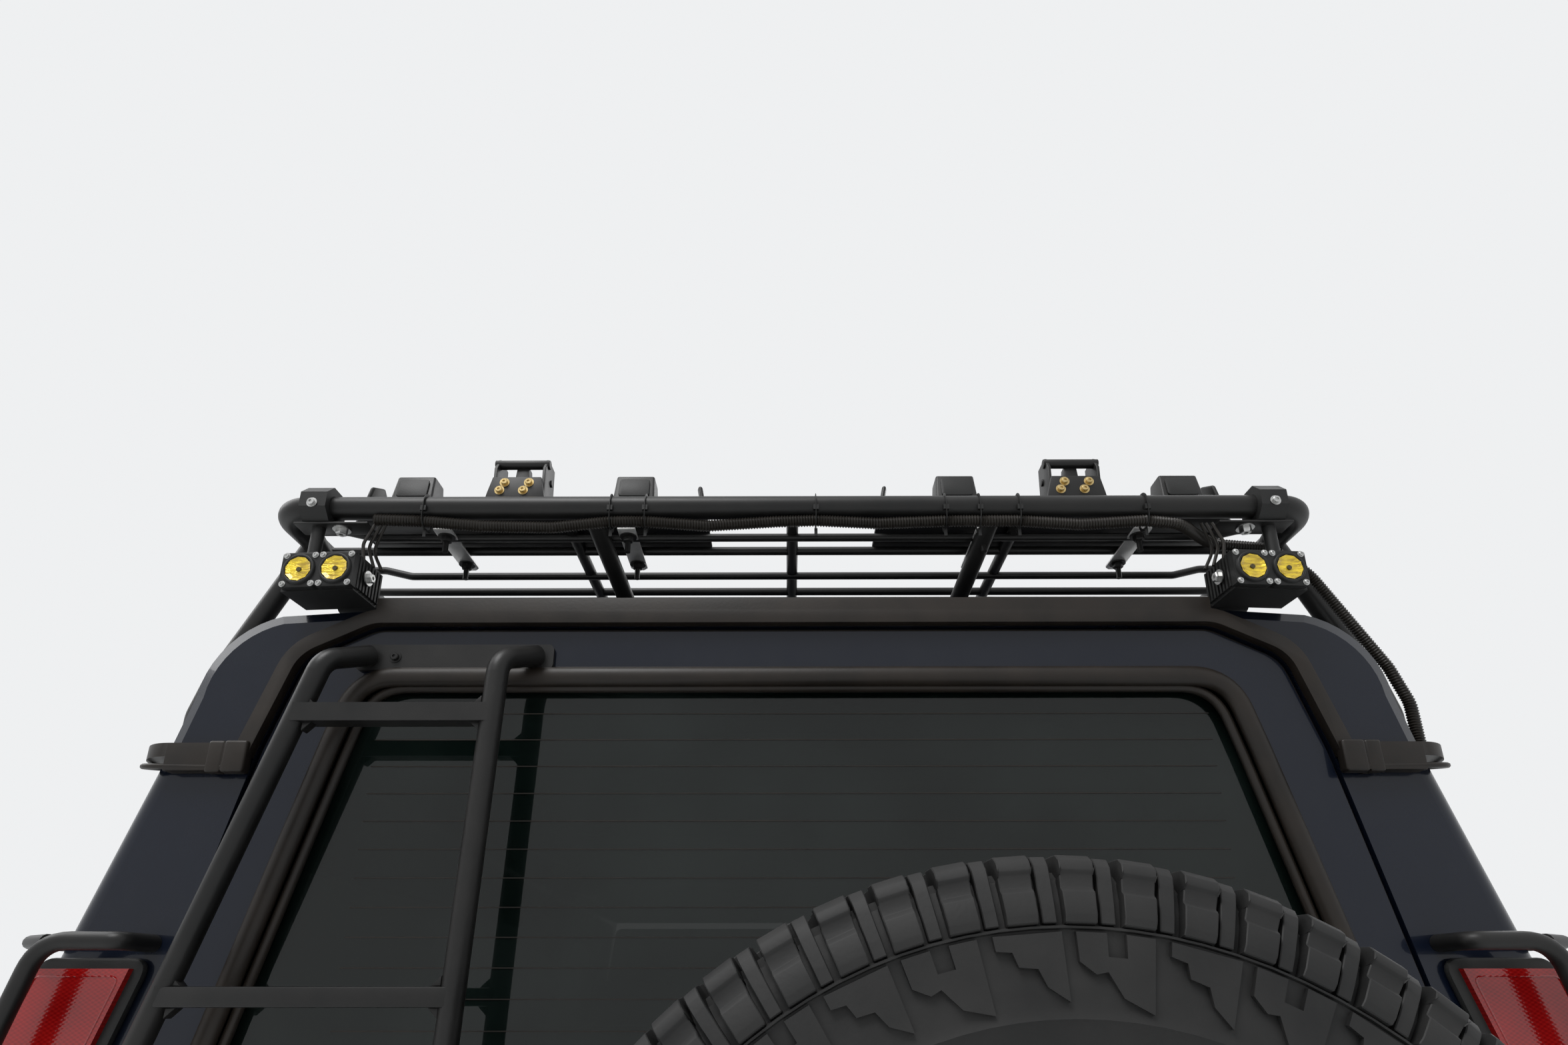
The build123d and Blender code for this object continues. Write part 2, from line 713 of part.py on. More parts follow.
# Steel bumpers on the chassis ends
bumper_face_y = nose_y + eye_reach
with BuildPart() as front_bumper:
    with BuildSketch(level(bumper_z0)):
        with BuildLine():
            Polyline(
                (-bumper_x + 205, bumper_face_y),
                (bumper_x - 205, bumper_face_y),
                (bumper_x, nose_y + 150),
                (bumper_x, nose_y + 300),
                (bumper_x - 55, nose_y + 300),
                (bumper_x - 55, nose_y + 160),
                (-bumper_x + 55, nose_y + 160),
                (-bumper_x + 55, nose_y + 300),
                (-bumper_x, nose_y + 300),
                (-bumper_x, nose_y + 150),
                close=True,
            )
        make_face()
    extrude(amount=bumper_z1 - bumper_z0)
    with BuildSketch(station(bumper_face_y + 60)):
        with Locations((0, (bumper_z0 + bumper_z1) / 2)):
            SlotOverall(560, 90)
    extrude(amount=80, mode=Mode.SUBTRACT)
    for hand in (-1, 1):
        with BuildSketch(flank(hand * eye_x - eye_t / 2)):
            with Locations((nose_y, bumper_z0 + 46)):
                Rectangle(eye_reach + 40, 64, align=(Align.MIN, Align.CENTER))
        extrude(amount=eye_t)
        with BuildSketch(flank(hand * eye_x - eye_t)):
            with Locations((nose_y + eye_r + 10, bumper_z0 + 46)):
                Circle(eye_r)
        extrude(amount=2 * eye_t, mode=Mode.SUBTRACT)
keep(front_bumper, "front_bumper")

with BuildPart() as rear_bumper:
    with BuildSketch(level(bumper_rear_z0)):
        with BuildLine():
            Polyline(
                (-bumper_x, tail_y - bumper_wrap),
                (-bumper_x, tail_y + 40),
                (-bumper_x + 65, tail_y + 105),
                (bumper_x - 65, tail_y + 105),
                (bumper_x, tail_y + 40),
                (bumper_x, tail_y - bumper_wrap),
                (bumper_x - 43, tail_y - bumper_wrap),
                (bumper_x - 43, tail_y + 6),
                (-bumper_x + 43, tail_y + 6),
                (-bumper_x + 43, tail_y - bumper_wrap),
                close=True,
            )
        make_face()
    extrude(amount=bumper_rear_z1 - bumper_rear_z0)
    for hand in (-1, 1):
        with BuildSketch(station(tail_y + 6)):
            with Locations((hand * (rail_in + rail_w / 2), bumper_rear_z0 + 32)):
                Rectangle(rail_w, 64)
        extrude(amount=tail_y + 6 - rail_end_y)
        with BuildSketch(flank(hand * eye_x - eye_t / 2)):
            with Locations((tail_y + 60, bumper_rear_z0 + 46)):
                Rectangle(45 + eye_reach, 64, align=(Align.MIN, Align.CENTER))
        extrude(amount=eye_t)
        with BuildSketch(flank(hand * eye_x - eye_t)):
            with Locations((tail_y + 105 + eye_reach - eye_r - 10, bumper_rear_z0 + 46)):
                Circle(eye_r)
        extrude(amount=2 * eye_t, mode=Mode.SUBTRACT)
keep(rear_bumper, "rear_bumper")

# Chassis: two rails, cross tubes, outriggers, sill bars and body mounts
crossmember_r = 30
cross_places = [rail_front_y + 60, axle_f + 620, axle_f + 1380, axle_r - 420, axle_r + 470, rail_end_y - 60]
outrigger_places = [axle_f + 620, axle_f + 1380, axle_r - 560]
slider_x = sill_x + 10
slider_z = 556
rail_mid_z = (rail_z0 + rail_z1) / 2
mount_places = [axle_f + 520, axle_f + 1380, axle_r - 560, axle_r + 700]
with BuildPart() as chassis_frame:
    for hand in (-1, 1):
        with BuildSketch(station(rail_end_y)):
            with Locations((hand * (rail_in + rail_w / 2), rail_mid_z)):
                Rectangle(rail_w, rail_z1 - rail_z0)
        extrude(amount=rail_end_y - rail_front_y)
        for y in (axle_f, axle_r):
            with BuildSketch(level(spring_z1)):
                with Locations((hand * (rail_in + rail_w + spring_x + spring_r) / 2, y)):
                    Rectangle(spring_x + spring_r - rail_in - rail_w + 10, 2 * spring_r)
            extrude(amount=20)
        with BuildSketch(station(door_foot_y - 30)):
            with Locations((hand * slider_x, slider_z)):
                Circle(30)
        extrude(amount=door_foot_y - 30 - door_front_y + 20)
        for y in mount_places:
            with BuildSketch(level(rail_z1)):
                with Locations((hand * (rail_in + rail_w / 2), y)):
                    Circle(32)
            extrude(amount=floor_low - rail_z1)
    for y in cross_places:
        with BuildSketch(flank(-rail_in - 10)):
            with Locations((y, rail_mid_z)):
                Circle(crossmember_r)
        extrude(amount=2 * rail_in + 20)
    for y in outrigger_places:
        for hand in (-1, 1):
            with BuildSketch(flank(hand * (rail_in + rail_w / 2))):
                with Locations((y, slider_z)):
                    Rectangle(50, 32)
            extrude(amount=hand * (slider_x - rail_in - rail_w / 2))
keep(chassis_frame, "chassis_frame")

# Live axles, each with an offset differential
diff_x = -160
output_z = 560
diff_r = 118
hub_r = 62
ball_r = 45
trunnion_z = 84
arm_low_z = 84.3
with BuildPart() as front_axle:
    with BuildSketch(flank(-kingpin_x)):
        with Locations((axle_f, axle_z)):
            Circle(axle_tube_r)
    extrude(amount=2 * kingpin_x)
    for hand in (-1, 1):
        with Locations((hand * kingpin_x, axle_f, axle_z)):
            Sphere(ball_r)
            Cylinder(22, 2 * trunnion_z)
        with Locations((hand * spring_x, axle_f, axle_z)):
            Cylinder(spring_r, spring_z0 - axle_z, align=(Align.CENTER, Align.CENTER, Align.MIN))
    with Locations((diff_x, axle_f, axle_z)):
        Sphere(diff_r)
    with BuildSketch(station(axle_f + 190)):
        with Locations((diff_x, axle_z)):
            Circle(45)
    extrude(amount=150)
keep(front_axle, "front_axle")

with BuildPart() as rear_axle:
    with BuildSketch(flank(-hub_x)):
        with Locations((axle_r, axle_z)):
            Circle(axle_tube_r)
    extrude(amount=2 * hub_x)
    for hand in (-1, 1):
        with BuildSketch(flank(hand * hub_x)):
            with Locations((axle_r, axle_z)):
                Circle(hub_r)
        extrude(amount=-hand * 30)
        with Locations((hand * spring_x, axle_r, axle_z)):
            Cylinder(spring_r, spring_z0 - axle_z, align=(Align.CENTER, Align.CENTER, Align.MIN))
    with Locations((diff_x, axle_r, axle_z)):
        Sphere(diff_r)
    with BuildSketch(station(axle_r - 40)):
        with Locations((diff_x, axle_z)):
            Circle(45)
    extrude(amount=150)
keep(rear_axle, "rear_axle")

# Steering knuckles that carry the front hubs, with arms to the track rod
arm_back = 150
arm_toe = 60
rod_r = 16
rod_end_x = kingpin_x - arm_toe
for hand, side_name in ((1, "left"), (-1, "right")):
    with BuildPart() as knuckle:
        for over in (-1, 1):
            low = axle_z + arm_low_z if over > 0 else axle_z - arm_low_z - 24
            with BuildSketch(level(low)):
                with Locations((hand * (kingpin_x + 20), axle_f)):
                    Rectangle(100, 70)
            extrude(amount=24)
        with BuildSketch(flank(hand * hub_x)):
            with Locations((axle_f, axle_z)):
                Circle(108)
        extrude(amount=-hand * 30)
        for over in (-1, 1):
            low = axle_z + arm_low_z if over > 0 else axle_z - arm_low_z - 24
            with BuildSketch(level(low)):
                with Locations((hand * (kingpin_x + 50), axle_f)):
                    Rectangle(60, 70)
            extrude(amount=24)
        with BuildSketch(level(axle_z - arm_low_z - 24)):
            with BuildLine():
                Polyline(
                    (hand * (kingpin_x + 18), axle_f + 30),
                    (hand * (rod_end_x + 18), axle_f + arm_back + 16),
                    (hand * (rod_end_x - 18), axle_f + arm_back + 16),
                    (hand * (kingpin_x - 18), axle_f + 30),
                    close=True,
                )
            make_face()
        extrude(amount=18)
    keep(knuckle, f"knuckle_{side_name}")

arm_top_z = axle_z - arm_low_z - 24 + 18
rod_z = arm_top_z + 6 + rod_r
with BuildPart() as track_rod:
    with BuildSketch(flank(-rod_end_x - rod_r)):
        with Locations((axle_f + arm_back, rod_z)):
            Circle(rod_r)
    extrude(amount=2 * (rod_end_x + rod_r))
    for hand in (-1, 1):
        with BuildSketch(level(arm_top_z + seat_gap)):
            with Locations((hand * rod_end_x, axle_f + arm_back)):
                Circle(rod_r - 3)
        extrude(amount=rod_z - arm_top_z - seat_gap)
keep(track_rod, "track_rod")


def wheel_plane(centre, outward):
    """The plane through a wheel's axle: local x is outward and local y is radial."""
    out = Vector(outward)
    side_on = Vector(0, 0, 1).cross(out)
    return Plane(origin=centre, x_dir=out, z_dir=side_on)


rim_w = 200
hub_face = wheel_x - hub_x
disc_r = 148
dish = 30


def rim_part(centre, outward, with_disc=True):
    """A steel wheel: barrel, dished centre with round holes and, on a hub, its brake disc."""
    plane = wheel_plane(centre, outward)
    axle = Axis(centre, outward)
    with BuildPart(mode=Mode.PRIVATE) as rim:
        with BuildSketch(plane):
            with BuildLine():
                Polyline(
                    (-rim_w / 2, rim_r + 12),
                    (-rim_w / 2 + 12, rim_r + 12),
                    (-rim_w / 2 + 22, rim_r - 6),
                    (rim_w / 2 - 22, rim_r - 6),
                    (rim_w / 2 - 12, rim_r + 12),
                    (rim_w / 2, rim_r + 12),
                    (rim_w / 2, rim_r - 2),
                    (rim_w / 2 - 16, rim_r - 16),
                    (dish + 10, rim_r - 16),
                    (dish, 110),
                    (dish + 22, 62),
                    (dish + 22, 0),
                    (-hub_face + seat_gap, 0),
                    (-hub_face + seat_gap, 75),
                    (dish - 12, 75),
                    (dish - 12, 110),
                    (dish - 6, rim_r - 16),
                    (-rim_w / 2 + 16, rim_r - 16),
                    (-rim_w / 2, rim_r - 2),
                    close=True,
                )
            make_face()
        revolve(axis=axle)
        with BuildSketch(Plane(origin=centre + Vector(outward) * (dish - 60), z_dir=outward)):
            with PolarLocations(148, 8):
                Circle(19)
        extrude(amount=120, mode=Mode.SUBTRACT)
        if with_disc:
            with BuildSketch(Plane(origin=centre + Vector(outward) * (-hub_face + 4), z_dir=outward)):
                Circle(disc_r)
            extrude(amount=14)
    return rim.part


tread_w = 236
lug_depth = 12
shoulder_r = 34


def tyre_part(centre, outward):
    """A tyre of revolution: bead, bowed sidewall, rounded shoulder and tread crown."""
    plane = wheel_plane(centre, outward)
    outer = tyre_d / 2
    bead = rim_r + 12 + seat_gap
    half = tyre_w / 2
    tread = tread_w / 2
    foot_x = rim_w / 2 - 12
    widest = bead + 0.42 * (outer - bead)
    bow = ((half - foot_x) ** 2 + (widest - bead) ** 2) / (2 * (half - foot_x))
    top_x = half - bow + math.sqrt(bow**2 - (outer - 52 - widest) ** 2)
    with BuildPart(mode=Mode.PRIVATE) as tyre:
        with BuildSketch(plane):
            with BuildLine():
                Line((-foot_x, bead), (foot_x, bead))
                ThreePointArc((foot_x, bead), (half, widest), (top_x, outer - 52))
                Polyline(
                    (top_x, outer - 52),
                    (tread, outer - 10),
                    (tread - 24, outer),
                    (-tread + 24, outer),
                    (-tread, outer - 10),
                    (-top_x, outer - 52),
                )
                ThreePointArc((-top_x, outer - 52), (-half, widest), (-foot_x, bead))
            make_face()
        revolve(axis=Axis(centre, outward))
    return tyre.part


# Each road wheel: name, x and y of its centre
road_wheels = [
    ("front_left", wheel_x, axle_f),
    ("front_right", -wheel_x, axle_f),
    ("rear_left", wheel_x, axle_r),
    ("rear_right", -wheel_x, axle_r),
]
for name, x, y in road_wheels:
    outward = (math.copysign(1, x), 0, 0)
    with BuildPart() as rim:
        add(rim_part(Vector(x, y, axle_z), outward))
    keep(rim, f"rim_{name}")
    with BuildPart() as tyre:
        add(tyre_part(Vector(x, y, axle_z), outward))
    keep(tyre, f"tyre_{name}")

spare_y = tail_y + spare_gap + tyre_w / 2
with BuildPart() as spare_rim:
    add(rim_part(Vector(spare_x, spare_y, spare_z), (0, 1, 0), with_disc=False))
    with BuildSketch(station(tail_y + spare_gap + 110)):
        with Locations((spare_x, spare_z)):
            Circle(60)
    extrude(amount=spare_gap + 110 - seat_gap)
keep(spare_rim, "spare_rim")
with BuildPart() as spare_tyre:
    add(tyre_part(Vector(spare_x, spare_y, spare_z), (0, 1, 0)))
keep(spare_tyre, "spare_tyre")

# Springs, radius arms and dampers
arm_x = 340
arm_r = 22
# Each axle: its y and the way its arms run to the chassis
axle_runs = [(axle_f, 1), (axle_r, -1)]
with BuildPart() as suspension:
    for y, way in axle_runs:
        for hand in (-1, 1):
            with Locations((hand * spring_x, y, (spring_z0 + spring_z1) / 2)):
                Cylinder(spring_r - 4, spring_z1 - spring_z0 - 2 * seat_gap)
            with BuildSketch(station(y + way * 460)):
                with Locations((hand * arm_x, axle_z + 60 + 40)):
                    Circle(arm_r)
            extrude(amount=way * 400)
            with BuildSketch(station(y + way * 60)):
                with Locations((hand * arm_x, axle_z + axle_tube_r + seat_gap)):
                    Rectangle(40, 80, align=(Align.CENTER, Align.MIN))
            extrude(amount=way * 120)
            with BuildSketch(station(y + way * 460)):
                with Locations((hand * arm_x, rail_z0 - seat_gap)):
                    Rectangle(44, 50, align=(Align.CENTER, Align.MAX))
            extrude(amount=way * 60)
keep(suspension, "suspension")

# Engine, gearbox, transfer box, propeller shafts and radiator
box_z = 640
with BuildPart() as driveline:
    with BuildSketch(level(570)):
        with Locations((0, axle_f - 40)):
            Rectangle(380, 640)
    extrude(amount=480)
    for hand in (-1, 1):
        with BuildSketch(station(axle_f + 60)):
            with Locations((hand * 180, rail_mid_z)):
                Rectangle(rail_in - seat_gap - 180, 50, align=(Align.MIN if hand > 0 else Align.MAX, Align.CENTER))
        extrude(amount=90)
    with BuildSketch(station(axle_f + 1150)):
        with Locations((0, box_z + 100)):
            RectangleRounded(2 * tunnel_x - 60, 200, 30)
    extrude(amount=1150 - 270)
    with BuildSketch(level(rail_mid_z + crossmember_r + seat_gap)):
        with Locations((0, cross_places[1])):
            Rectangle(90, 30)
    extrude(amount=box_z + 10 - rail_mid_z - crossmember_r - seat_gap)
    with BuildSketch(station(axle_f + 1190)):
        with Locations((diff_x, output_z + 40)):
            RectangleRounded(200, 170, 30)
    extrude(amount=240)
    # Each propeller shaft: the y of its box end and of its axle end
    for box_y, axle_y in ((axle_f + 950, axle_f + 190), (axle_f + 1190, axle_r - 190)):
        way = math.copysign(1, axle_y - box_y)
        start = Vector(diff_x, box_y - way * 5, output_z)
        run = Vector(diff_x, axle_y - way * seat_gap, axle_z) - start
        with BuildSketch(Plane(origin=start, z_dir=run)):
            Circle(propshaft_r)
        extrude(amount=run.length - 12)
    with BuildSketch(station(face_y + 120)):
        with Locations((0, bumper_z1 + 10)):
            Rectangle(820, 230, align=(Align.CENTER, Align.MIN))
    extrude(amount=60 - seat_gap)
keep(driveline, "driveline")

# Fuel tank between the rails and the exhaust with its silencer and hangers
tank_y = axle_r + 500
tank_len = 260
with BuildPart() as fuel_tank:
    with BuildSketch(level(rail_z0 + 5)):
        with Locations((-20, tank_y + tank_len / 2 + 40)):
            RectangleRounded(2 * rail_in - 60, tank_len, 40)
    extrude(amount=floor_low - seat_gap - rail_z0 - 5)
keep(fuel_tank, "fuel_tank")

exhaust_x = 225
exhaust_z = 508
exhaust_r = 28
silencer_y = axle_f + 1640
with BuildPart() as exhaust:
    with BuildSketch(station(tail_y - 30)):
        with Locations((exhaust_x, exhaust_z)):
            Circle(exhaust_r)
    extrude(amount=tail_y - 30 - axle_f - 420)
    with BuildSketch(station(silencer_y + 420)):
        with Locations((exhaust_x, exhaust_z)):
            Circle(2 * exhaust_r)
    extrude(amount=420)
    for y in (axle_f + 1380, axle_r - 420, axle_r + 470):
        with BuildSketch(level(exhaust_z)):
            with Locations((exhaust_x, y)):
                Rectangle(14, 20)
        extrude(amount=rail_mid_z - crossmember_r - seat_gap - exhaust_z)
keep(exhaust, "exhaust")

# Dashboard with the steering column, seats and the steering wheel
dash_z0, dash_z1 = 985, 1262
dash_y = axle_f + 700
dash_x = waist_x - side_t - 30
wheel_side = 390
column_tilt = math.radians(25)
column_dir = Vector(0, math.cos(column_tilt), math.sin(column_tilt))
helm_centre = Vector(wheel_side, axle_f + 860, 1190)
helm_r = 185
with BuildPart() as dashboard:
    with BuildSketch(flank(-dash_x)):
        with BuildLine():
            Polyline(
                (bulkhead_y + 25 + seat_gap, dash_z0),
                (bulkhead_y + 25 + seat_gap, dash_z1),
                (dash_y - 90, dash_z1),
                (dash_y, dash_z1 - 70),
                (dash_y - 40, dash_z0),
                close=True,
            )
        make_face()
    extrude(amount=2 * dash_x)
    with BuildSketch(Plane(origin=helm_centre - column_dir * 30, z_dir=column_dir)):
        Circle(40)
    extrude(amount=-200)
keep(dashboard, "dashboard")

with BuildPart() as steering_wheel:
    helm_plane = Plane(origin=helm_centre, x_dir=(1, 0, 0), z_dir=column_dir)
    with BuildSketch(Plane(origin=helm_centre, x_dir=(1, 0, 0), z_dir=(0, -column_dir.Z, column_dir.Y))):
        with Locations((helm_r, 0)):
            Circle(14)
    revolve(axis=Axis(helm_centre, column_dir))
    with BuildSketch(helm_plane.offset(-30 + seat_gap)):
        Circle(52)
    extrude(amount=38)
    with BuildSketch(helm_plane.offset(-10)):
        for turn in (0, 180, 270):
            with Locations(Rotation(0, 0, turn)):
                with Locations((helm_r / 2 + 20, 0)):
                    Rectangle(helm_r - 44, 34)
    extrude(amount=12)
keep(steering_wheel, "steering_wheel")

seat_w = 480
cushion_z = 1040
# Each seat: middle x, front y, width and height of its back
seat_places = [
    (wheel_side, axle_f + 1000, seat_w, 1600),
    (-wheel_side, axle_f + 1000, seat_w, 1600),
    (0, axle_f + 1700, 1160, 1540),
]
with BuildPart() as seats:
    for x, y, width, top in seat_places:
        with BuildSketch(flank(x - width / 2)):
            with BuildLine():
                Polyline(
                    (y + 40, floor_z + seat_gap),
                    (y, cushion_z - 90),
                    (y, cushion_z + 20),
                    (y + 400, cushion_z - 20),
                    (y + 480, top),
                    (y + 570, top),
                    (y + 520, cushion_z - 90),
                    (y + 460, floor_z + seat_gap),
                    close=True,
                )
            make_face()
        extrude(amount=width)
keep(seats, "seats")

# Tail door with its window, hinge barrels and pane
with BuildPart() as tail_door:
    extrude(tail_shape(tail_y, tail_outline, tail_corner_r), amount=tail_t)
    extrude(tail_shape(tail_y + 1, tail_window, tail_window_r), amount=tail_t + 2, mode=Mode.SUBTRACT)
    for z in tail_hinge_places:
        with BuildSketch(level(z)):
            with Locations((tail_hinge_x, tail_hinge_y)):
                Circle(barrel_r)
            with Locations((tail_hinge_x, tail_hinge_y)):
                Rectangle(90, tail_hinge_y - tail_y + 2, align=(Align.MIN, Align.MAX))
            with Locations((tail_hinge_x, tail_hinge_y)):
                Circle(tail_pin_r + seat_gap, mode=Mode.SUBTRACT)
        extrude(amount=barrel_h)
keep(tail_door, "tail_door")

with BuildPart() as tail_glass:
    extrude(tail_shape(tail_y - 15, tail_window, tail_window_r, -seat_gap), amount=glass_t)
keep(tail_glass, "tail_glass")

# Ladder on the tail door
ladder_off = 62
ladder_r = 13
foot_t = 5
# Each rail: its x at the bottom, where it starts to lean in, and at the top
ladder_rails = [(725, 725, 558), (372, 364, 349)]
ladder_bend_z = 1290
ladder_z0, ladder_z1 = 808, 1880
foot_in = 28
rung_pitch = 312
rung_places = [ladder_z1 - 69 - rung_pitch * i for i in range(4)]


def rail_x(rail, z):
    """The x of a ladder rail at a height."""
    low_x, bend_x, high_x = rail
    if z < ladder_bend_z:
        return low_x + (bend_x - low_x) * (z - ladder_z0) / (ladder_bend_z - ladder_z0)
    return bend_x + (high_x - bend_x) * (z - ladder_bend_z) / (ladder_z1 - ladder_bend_z)


with BuildPart() as ladder:
    for low_x, bend_x, high_x in ladder_rails:
        with BuildLine(mode=Mode.PRIVATE) as rail_line:
            FilletPolyline(
                (low_x, tail_y + foot_t + seat_gap, ladder_z0),
                (low_x, tail_y + ladder_off, ladder_z0 + 4),
                (bend_x, tail_y + ladder_off, ladder_bend_z),
                (high_x, tail_y + ladder_off, ladder_z1),
                (high_x - foot_in, tail_y + foot_t + 4, ladder_z1 + 26),
                radius=28,
            )
        with BuildSketch(Plane(origin=rail_line.line @ 0, z_dir=rail_line.line % 0)):
            Circle(ladder_r)
        sweep(path=rail_line.line)
        with BuildSketch(station(tail_y + foot_t + seat_gap + 1)):
            with Locations((low_x, ladder_z0)):
                RectangleRounded(60, 44, 8)
        extrude(amount=foot_t + 1)
    # One plate under both upper feet
    outer_foot, inner_foot = [rail[2] - foot_in for rail in ladder_rails]
    with BuildSketch(station(tail_y + foot_t + seat_gap + 1)):
        with Locations(((outer_foot + inner_foot) / 2, ladder_z1 + 25)):
            RectangleRounded(outer_foot - inner_foot + 40, 34, 8)
    extrude(amount=foot_t + 1)
    for z in rung_places:
        ends = [rail_x(rail, z) for rail in ladder_rails]
        with BuildSketch(flank(ends[1])):
            with Locations((tail_y + ladder_off, z)):
                Rectangle(26, 22)
        extrude(amount=ends[0] - ends[1])
keep(ladder, "ladder")

# Tail lamps in the rear corners and the tube guards around them
lamp_low_z = 1235
lamp_high_z = 1529
lamp_in = 112
lamp_out = 6
guard_r = 10
with BuildPart() as tail_lamps:
    for hand in (-1, 1):
        with BuildSketch(station(tail_y + 18)):
            with BuildLine():
                Polyline(
                    (hand * (side_at(lamp_low_z) - lamp_in), lamp_low_z),
                    (hand * (side_at(lamp_low_z) - lamp_out), lamp_low_z),
                    (hand * (side_at(waist_z) - lamp_out), waist_z),
                    (hand * (side_at(lamp_high_z) - lamp_out), lamp_high_z),
                    (hand * (side_at(lamp_high_z) - lamp_in), lamp_high_z),
                    (hand * (side_at(waist_z) - lamp_in), waist_z),
                    close=True,
                )
            make_face()
        extrude(amount=18 - seat_gap)
keep(tail_lamps, "tail_lamps")

guard_y = tail_y + 52
guard_over = 28
with BuildPart() as lamp_guards:
    for hand in (-1, 1):
        for z in (lamp_low_z - guard_over, lamp_high_z + guard_over):
            inner = hand * (side_at(z) - lamp_in)
            outer = hand * (side_at(z - guard_r) + 24)
            skin = hand * (side_at(z - guard_r) + seat_gap)
            with BuildLine(mode=Mode.PRIVATE) as hoop:
                FilletPolyline(
                    (inner, tail_y + seat_gap, z),
                    (inner, guard_y, z),
                    (outer, guard_y, z),
                    (outer, tail_y - 60, z),
                    (skin, tail_y - 60, z),
                    radius=11,
                )
            with BuildSketch(Plane(origin=hoop.line @ 0, z_dir=hoop.line % 0)):
                Circle(guard_r)
            sweep(path=hoop.line)
        top_x = side_at(lamp_high_z + guard_over) - 32
        low_x = side_at(lamp_low_z - guard_over) - 32
        start = Vector(hand * low_x, guard_y, lamp_low_z - guard_over)
        run = Vector(hand * top_x, guard_y, lamp_high_z + guard_over) - start
        with BuildSketch(Plane(origin=start, z_dir=run)):
            Circle(guard_r - 1.5)
        extrude(amount=run.length)
keep(lamp_guards, "lamp_guards")

# Drip rails along the gutters, wrapped round to the tail door, and the moulding over its top
drip_x = gutter_x + 4
drip_w = 18
drip_h = 17
trim_w = 19
trim_t = 14
trim_top = 34
wrap_h = 34
wrap_x = drip_x - corner_round
wrap_y = tail_y - corner_round
diagonal = math.sqrt(0.5)
with BuildPart(mode=Mode.PRIVATE) as moulding:
    extrude(tail_shape(tail_y + trim_t, tail_outline, tail_corner_r, trim_w + door_gap), amount=trim_t - seat_gap)
    with BuildSketch(station(tail_y + trim_t)):
        with Locations((0, tail_head_z)):
            Rectangle(2 * tail_head_x - 120, trim_top + door_gap, align=(Align.CENTER, Align.MIN))
    extrude(amount=trim_t - seat_gap)
    extrude(tail_shape(tail_y + trim_t + 1, tail_outline, tail_corner_r, door_gap), amount=20, mode=Mode.SUBTRACT)
    with BuildSketch(level(gutter_z - 10)):
        Rectangle(4 * belt_x, 4 * tail_y)
    extrude(amount=-gutter_z, mode=Mode.SUBTRACT)
with BuildPart() as gutter_trim:
    add(moulding.part)
    for hand in (-1, 1):
        with BuildSketch(level(gutter_z + 5)):
            with BuildLine():
                Line((hand * drip_x, wrap_y), (hand * drip_x, screen_head_y))
                Line((hand * drip_x, screen_head_y), (hand * (drip_x + drip_w), screen_head_y))
                Line((hand * (drip_x + drip_w), screen_head_y), (hand * (drip_x + drip_w), wrap_y))
                reach = (corner_round + drip_w) * diagonal
                ThreePointArc(
                    (hand * (drip_x + drip_w), wrap_y),
                    (hand * (wrap_x + reach), wrap_y + reach),
                    (hand * wrap_x, tail_y + drip_w),
                )
                Line((hand * wrap_x, tail_y + drip_w), (hand * wrap_x, tail_y + seat_gap))
                reach = (corner_round + seat_gap) * diagonal
                ThreePointArc(
                    (hand * wrap_x, tail_y + seat_gap),
                    (hand * (wrap_x + reach), wrap_y + reach),
                    (hand * drip_x, wrap_y),
                )
            make_face()
        extrude(amount=-drip_h)
        with BuildSketch(station(tail_y + drip_w)):
            with BuildLine():
                Polyline(
                    (hand * (wrap_x + 1), gutter_z + 5),
                    (hand * (tail_gutter_x + door_gap + 2), gutter_z + 5),
                    (hand * (tail_gutter_x + door_gap + 9), gutter_z + 5 - wrap_h),
                    (hand * (wrap_x + 1), gutter_z + 5 - wrap_h),
                    close=True,
                )
            make_face()
        extrude(amount=drip_w - seat_gap)
keep(gutter_trim, "gutter_trim")

# Door mirrors
mirror_z = waist_z + 20
with BuildPart() as mirror_left:
    with BuildSketch(station(door_front_y + 110)):
        with Locations((side_at(mirror_z) + 0.4, mirror_z)):
            Rectangle(50, 30, align=(Align.MIN, Align.MIN))
    extrude(amount=40)
    with BuildSketch(station(door_front_y + 130)):
        with Locations((side_at(mirror_z) + 112, mirror_z + 100)):
            RectangleRounded(160, 200, 30)
    extrude(amount=80)
keep(mirror_left, "mirror_left")
with BuildPart() as mirror_right:
    add(mirrored(mirror_left.part))
keep(mirror_right, "mirror_right")

